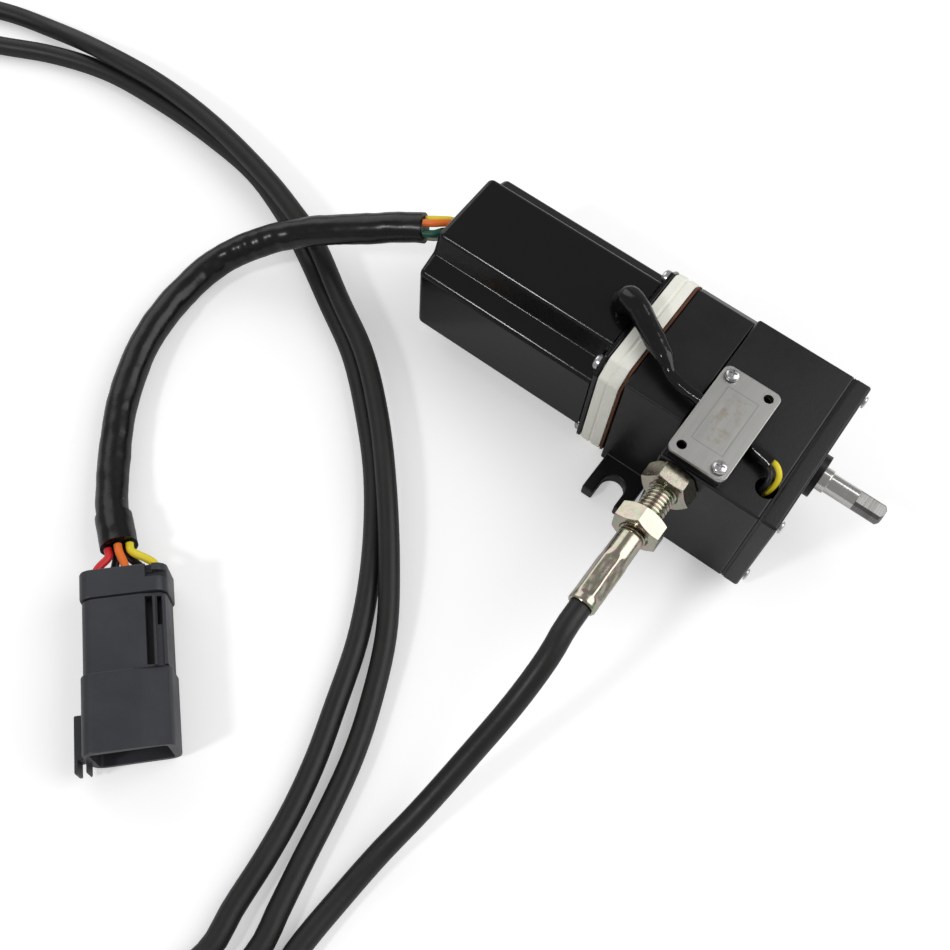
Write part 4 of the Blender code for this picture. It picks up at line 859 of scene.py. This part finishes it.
def crimped_tube(bottom, length, bore, sides=72, steps=63):
    builder = bmesh.new()
    rows = []
    for step in range(steps + 1):
        depth = length * step / steps
        swage = min(1.0, max(0.0, (depth - 0.0068) / 0.0022))
        swage *= 1.0 - 0.85 * min(1.0, max(0.0, (depth - 0.0198) / 0.0010))
        row = []
        for turn in turns(sides):
            flat = ((turn + 0.30 + math.pi / 6) % (math.pi / 3)) - math.pi / 6
            plain = 0.00355 + 0.00030 * depth / length
            hexed = min(0.00395, 0.00345 / math.cos(flat))
            hexed += noise.noise(Vector((math.cos(turn) * 3, math.sin(turn) * 3, depth * 400))) * 0.00007
            radius = plain * (1 - swage) + hexed * swage
            if step in (0, steps):
                radius -= 0.00025
            row.append(builder.verts.new((radius * math.cos(turn), bottom - depth, radius * math.sin(turn))))
        rows.append(row)
    for along in (bottom - length, bottom):
        rows.append([builder.verts.new((bore * math.cos(turn), along, bore * math.sin(turn)))
                     for turn in turns(sides)])
    rows.append(rows[0])
    join_rows(builder, rows, sides)
    bmesh.ops.recalc_face_normals(builder, faces=builder.faces)
    return builder


def hub_shape(name, top, bottom, length, bore=0.00305, sides=48, steps=10):
    builder = crimped_tube(bottom, length, bore)
    count = int((top - bottom) / thread_pitch * steps)
    heights = (0.0, 0.0, 0.3, 0.65, 1.0, 1.0, 1.0, 0.65, 0.3, 0.0)
    rows = []
    for i in range(count + steps + 1):
        row = []
        for k, turn in enumerate(turns(sides)):
            along = min(top, max(bottom, top + thread_pitch - (i / steps + k / sides) * thread_pitch))
            fade = min(1.0, (top - along) / 0.0005)
            radius = thread_radius - thread_depth * (1 - fade + fade * heights[i % steps])
            row.append(builder.verts.new((radius * math.cos(turn), along, radius * math.sin(turn))))
        rows.append(row)
    for i in range(len(rows) - 1):
        for k in range(sides - 1):
            builder.faces.new((rows[i][k], rows[i + 1][k], rows[i + 1][k + 1], rows[i][k + 1]))
        if i + steps + 1 < len(rows):
            builder.faces.new((rows[i][-1], rows[i + 1][-1], rows[i + steps + 1][0], rows[i + steps][0]))
    bmesh.ops.remove_doubles(builder, verts=builder.verts, dist=0.000004)
    return new_piece(name, builder)


hub = hub_shape("crimped_hub", near_y + 0.0027, sleeve_y - gap, 0.0229)
hub.data.transform(Matrix.Translation((cable_x, 0, cable_z)))
fit(hub, zinc, "housing", "cable_hub", 50)


def hexagon_nut(name, turn, flats=0.0125, thick=0.0054, hole=0.0036):
    corner_radius = flats / math.sqrt(3)
    nut = bar(corner_radius, (0, 0, 0), (0, 0, thick), 6)
    nut.name = name
    nut.data.transform(Matrix.Rotation(turn, 4, "Z"))
    crown = (corner_radius - flats / 2) * 0.58
    lens = turned("lens", ((0, 0), (0, flats / 2 - 0.0001), (crown, corner_radius), (thick - crown, corner_radius),
                           (thick, flats / 2 - 0.0001), (thick, 0)), 72, "Z")
    shape_with(nut, lens, "INTERSECT")
    shape_with(nut, turned("hole", ((-0.001, 0), (-0.001, hole + 0.0011), (0.0001, hole + 0.0006), (0.0007, hole),
                                    (thick - 0.0007, hole), (thick - 0.0001, hole + 0.0006),
                                    (thick + 0.001, hole + 0.0011), (thick + 0.001, 0)), 48, "Z"))
    soften(nut, 0.00022, 2, 38)
    return nut


for node, start, turn in (("hub_nut_1", nut_1, 0.61), ("hub_nut_2", nut_2 - 0.0006, -0.05)):
    nut = hexagon_nut(node.replace("hub", "clamp"), -turn)
    nut.data.transform(Matrix.Translation((cable_x, start, cable_z)) @ Matrix.Rotation(math.radians(90), 4, "X"))
    fit(nut, zinc, "housing", node, 30)
core_wire = metal("stranded_core", (0.36, 0.36, 0.36), (0.60, 0.60, 0.60), (0.30, 0.29, 0.27), (0.25, 0.4),
                  stretch=(1, 0.3, 1), lines=2600.0, depth=0.0001)
coat(nodes["inner_wire"], core_wire)


# The far end of the cable: the same kind of hub and one nut, and the sliding rod that the governor's
# linkage is screwed to. The photograph doesn't show it, so it follows the near end.
end = Vector(conduit_points[-1]) * 0.001
out = (end - Vector(conduit_points[-2]) * 0.001).normalized()
end_place = Matrix.Translation(end) @ Matrix.Rotation(math.atan2(out.y, out.x), 4, "Z")
facing = Matrix.Rotation(math.radians(-90), 4, "Z")
far_hub = hub_shape("far_end_hub", 0.0260, 0.0040, 0.0230)
far_hub.data.transform(end_place @ facing)
fit(far_hub, zinc, "housing", "far_hub", 50)
far_nut = hexagon_nut("far_end_nut", 0.0)
far_nut.data.transform(end_place @ Matrix.Translation((0.0050, 0, 0)) @ Matrix.Rotation(math.radians(90), 4, "Y"))
fit(far_nut, zinc, "housing", "far_nut", 30)
far_rod = turned("sliding_rod", ((0.0142, 0), (0.0142, 0.0015), (0.0460, 0.0015), (0.0460, 0.0028),
                                 (0.0463, 0.0030), (0.0557, 0.0030), (0.0560, 0.0027), (0.0560, 0)), 40)
far_rod.data.transform(end_place)
fit(far_rod, spindle_steel, "far_rod", "far_rod", 30)


# The connector: dark grey moulded plastic in two pieces. The rear cap clips over the body, which has
# clip slots on top, a rim round its socket and a latch lug on one side.
def plug_block(low, high, long_radius, edge_radius):
    piece = block(low, high)
    round_edges(piece, lambda p, q: abs(p.x - q.x) > 1e-5, long_radius, 5)
    soften(piece, edge_radius, 2, 50)
    return piece


cap_end, body_x, shroud_x, shroud_end = 0.0081, 0.0084, 0.0287, 0.0495
cap = plug_block((0, -0.0119, 0.0006), (cap_end, 0.0119, 0.0172), 0.0036, 0.0006)
cap.name = "connector_rear_cap"
for _, _, v, z, _, _ in plug_wires:
    drill(cap, 0.0014, -0.001, 0.0042, v * 0.001, z * 0.001, 24)
shape_with(cap, block((-0.001, 0.0062, 0.0154), (0.0030, 0.0080, 0.0200)))
shape_with(cap, block((0.0022, 0.0062, 0.0150), (0.0040, 0.0126, 0.0200)))
moulding = skinned("grey_moulding", (0.030, 0.031, 0.036), (0.046, 0.048, 0.055), (0.33, 0.48), 1200.0, 0.00005,
                   cloud=85.0, dust=0.3, dust_colour=(0.35, 0.35, 0.36))
body = plug_block((body_x, -0.0114, 0.0009), (shroud_x + 0.001, 0.0114, 0.0169), 0.0038, 0.0003)
body.name = "connector_shell"
shroud = plug_block((shroud_x, -0.0119, 0.0003), (shroud_end, 0.0119, 0.0175), 0.0038, 0.0004)
shape_with(body, shroud, "UNION")
slope = [(0.0028, 0.01755), (0.0050, 0.0172), (0.0075, 0.0167), (0.0100, 0.0163), (0.0130, 0.0160),
         (0.0130, 0.0200), (0.0028, 0.0200)]
shape_with(body, slab("slope", slope, shroud_x + 0.0004, 0.06))
shape_with(body, slab("slope", [(y - 0.0004, z - 0.0006) for y, z in slope], -0.01, shroud_x + 0.0004))
lug = block((shroud_end - 0.0125, -0.0150, 0.0035), (shroud_end + 0.0026, -0.0115, 0.0095))
soften(lug, 0.0004, 2)
shape_with(lug, block((shroud_end - 0.001, -0.0141, 0.0028), (shroud_end + 0.004, -0.0119, 0.0105)))
shape_with(body, lug, "UNION")
for low, high in (((body_x + 0.0010, 0.0079, 0.0130), (shroud_x - 0.0002, 0.0086, 0.0166)),
                  ((body_x + 0.0010, 0.0104, 0.0120), (shroud_x - 0.0002, 0.0113, 0.0164))):
    rail = block(low, high)
    soften(rail, 0.00015, 2)
    shape_with(body, rail, "UNION")
cavity = plug_block((shroud_end - 0.0165, -0.0099, 0.0023), (shroud_end + 0.001, 0.0099, 0.0155), 0.0012, 0.0001)
shape_with(body, cavity)
for low, high in (((body_x + 0.0008, 0.0058, 0.0128), (shroud_x - 0.0006, 0.0077, 0.020)),
                  ((body_x + 0.0010, 0.0089, 0.0128), (body_x + 0.0090, 0.0101, 0.020))):
    shape_with(body, block(low, high))
for row in (0, 1):
    for column in (-1, 0, 1):
        y, z = column * 0.0055, 0.0060 + row * 0.0058
        drill(body, 0.0011, 0.0275, shroud_end - 0.0155, y, z, 20)
for piece, node in ((cap, "connector_cap"), (body, "connector_body")):
    piece.data.transform(plug_place @ Matrix.Diagonal((0.965, 0.945, 0.98, 1)))
    fit(piece, moulding, "housing", node, 38)
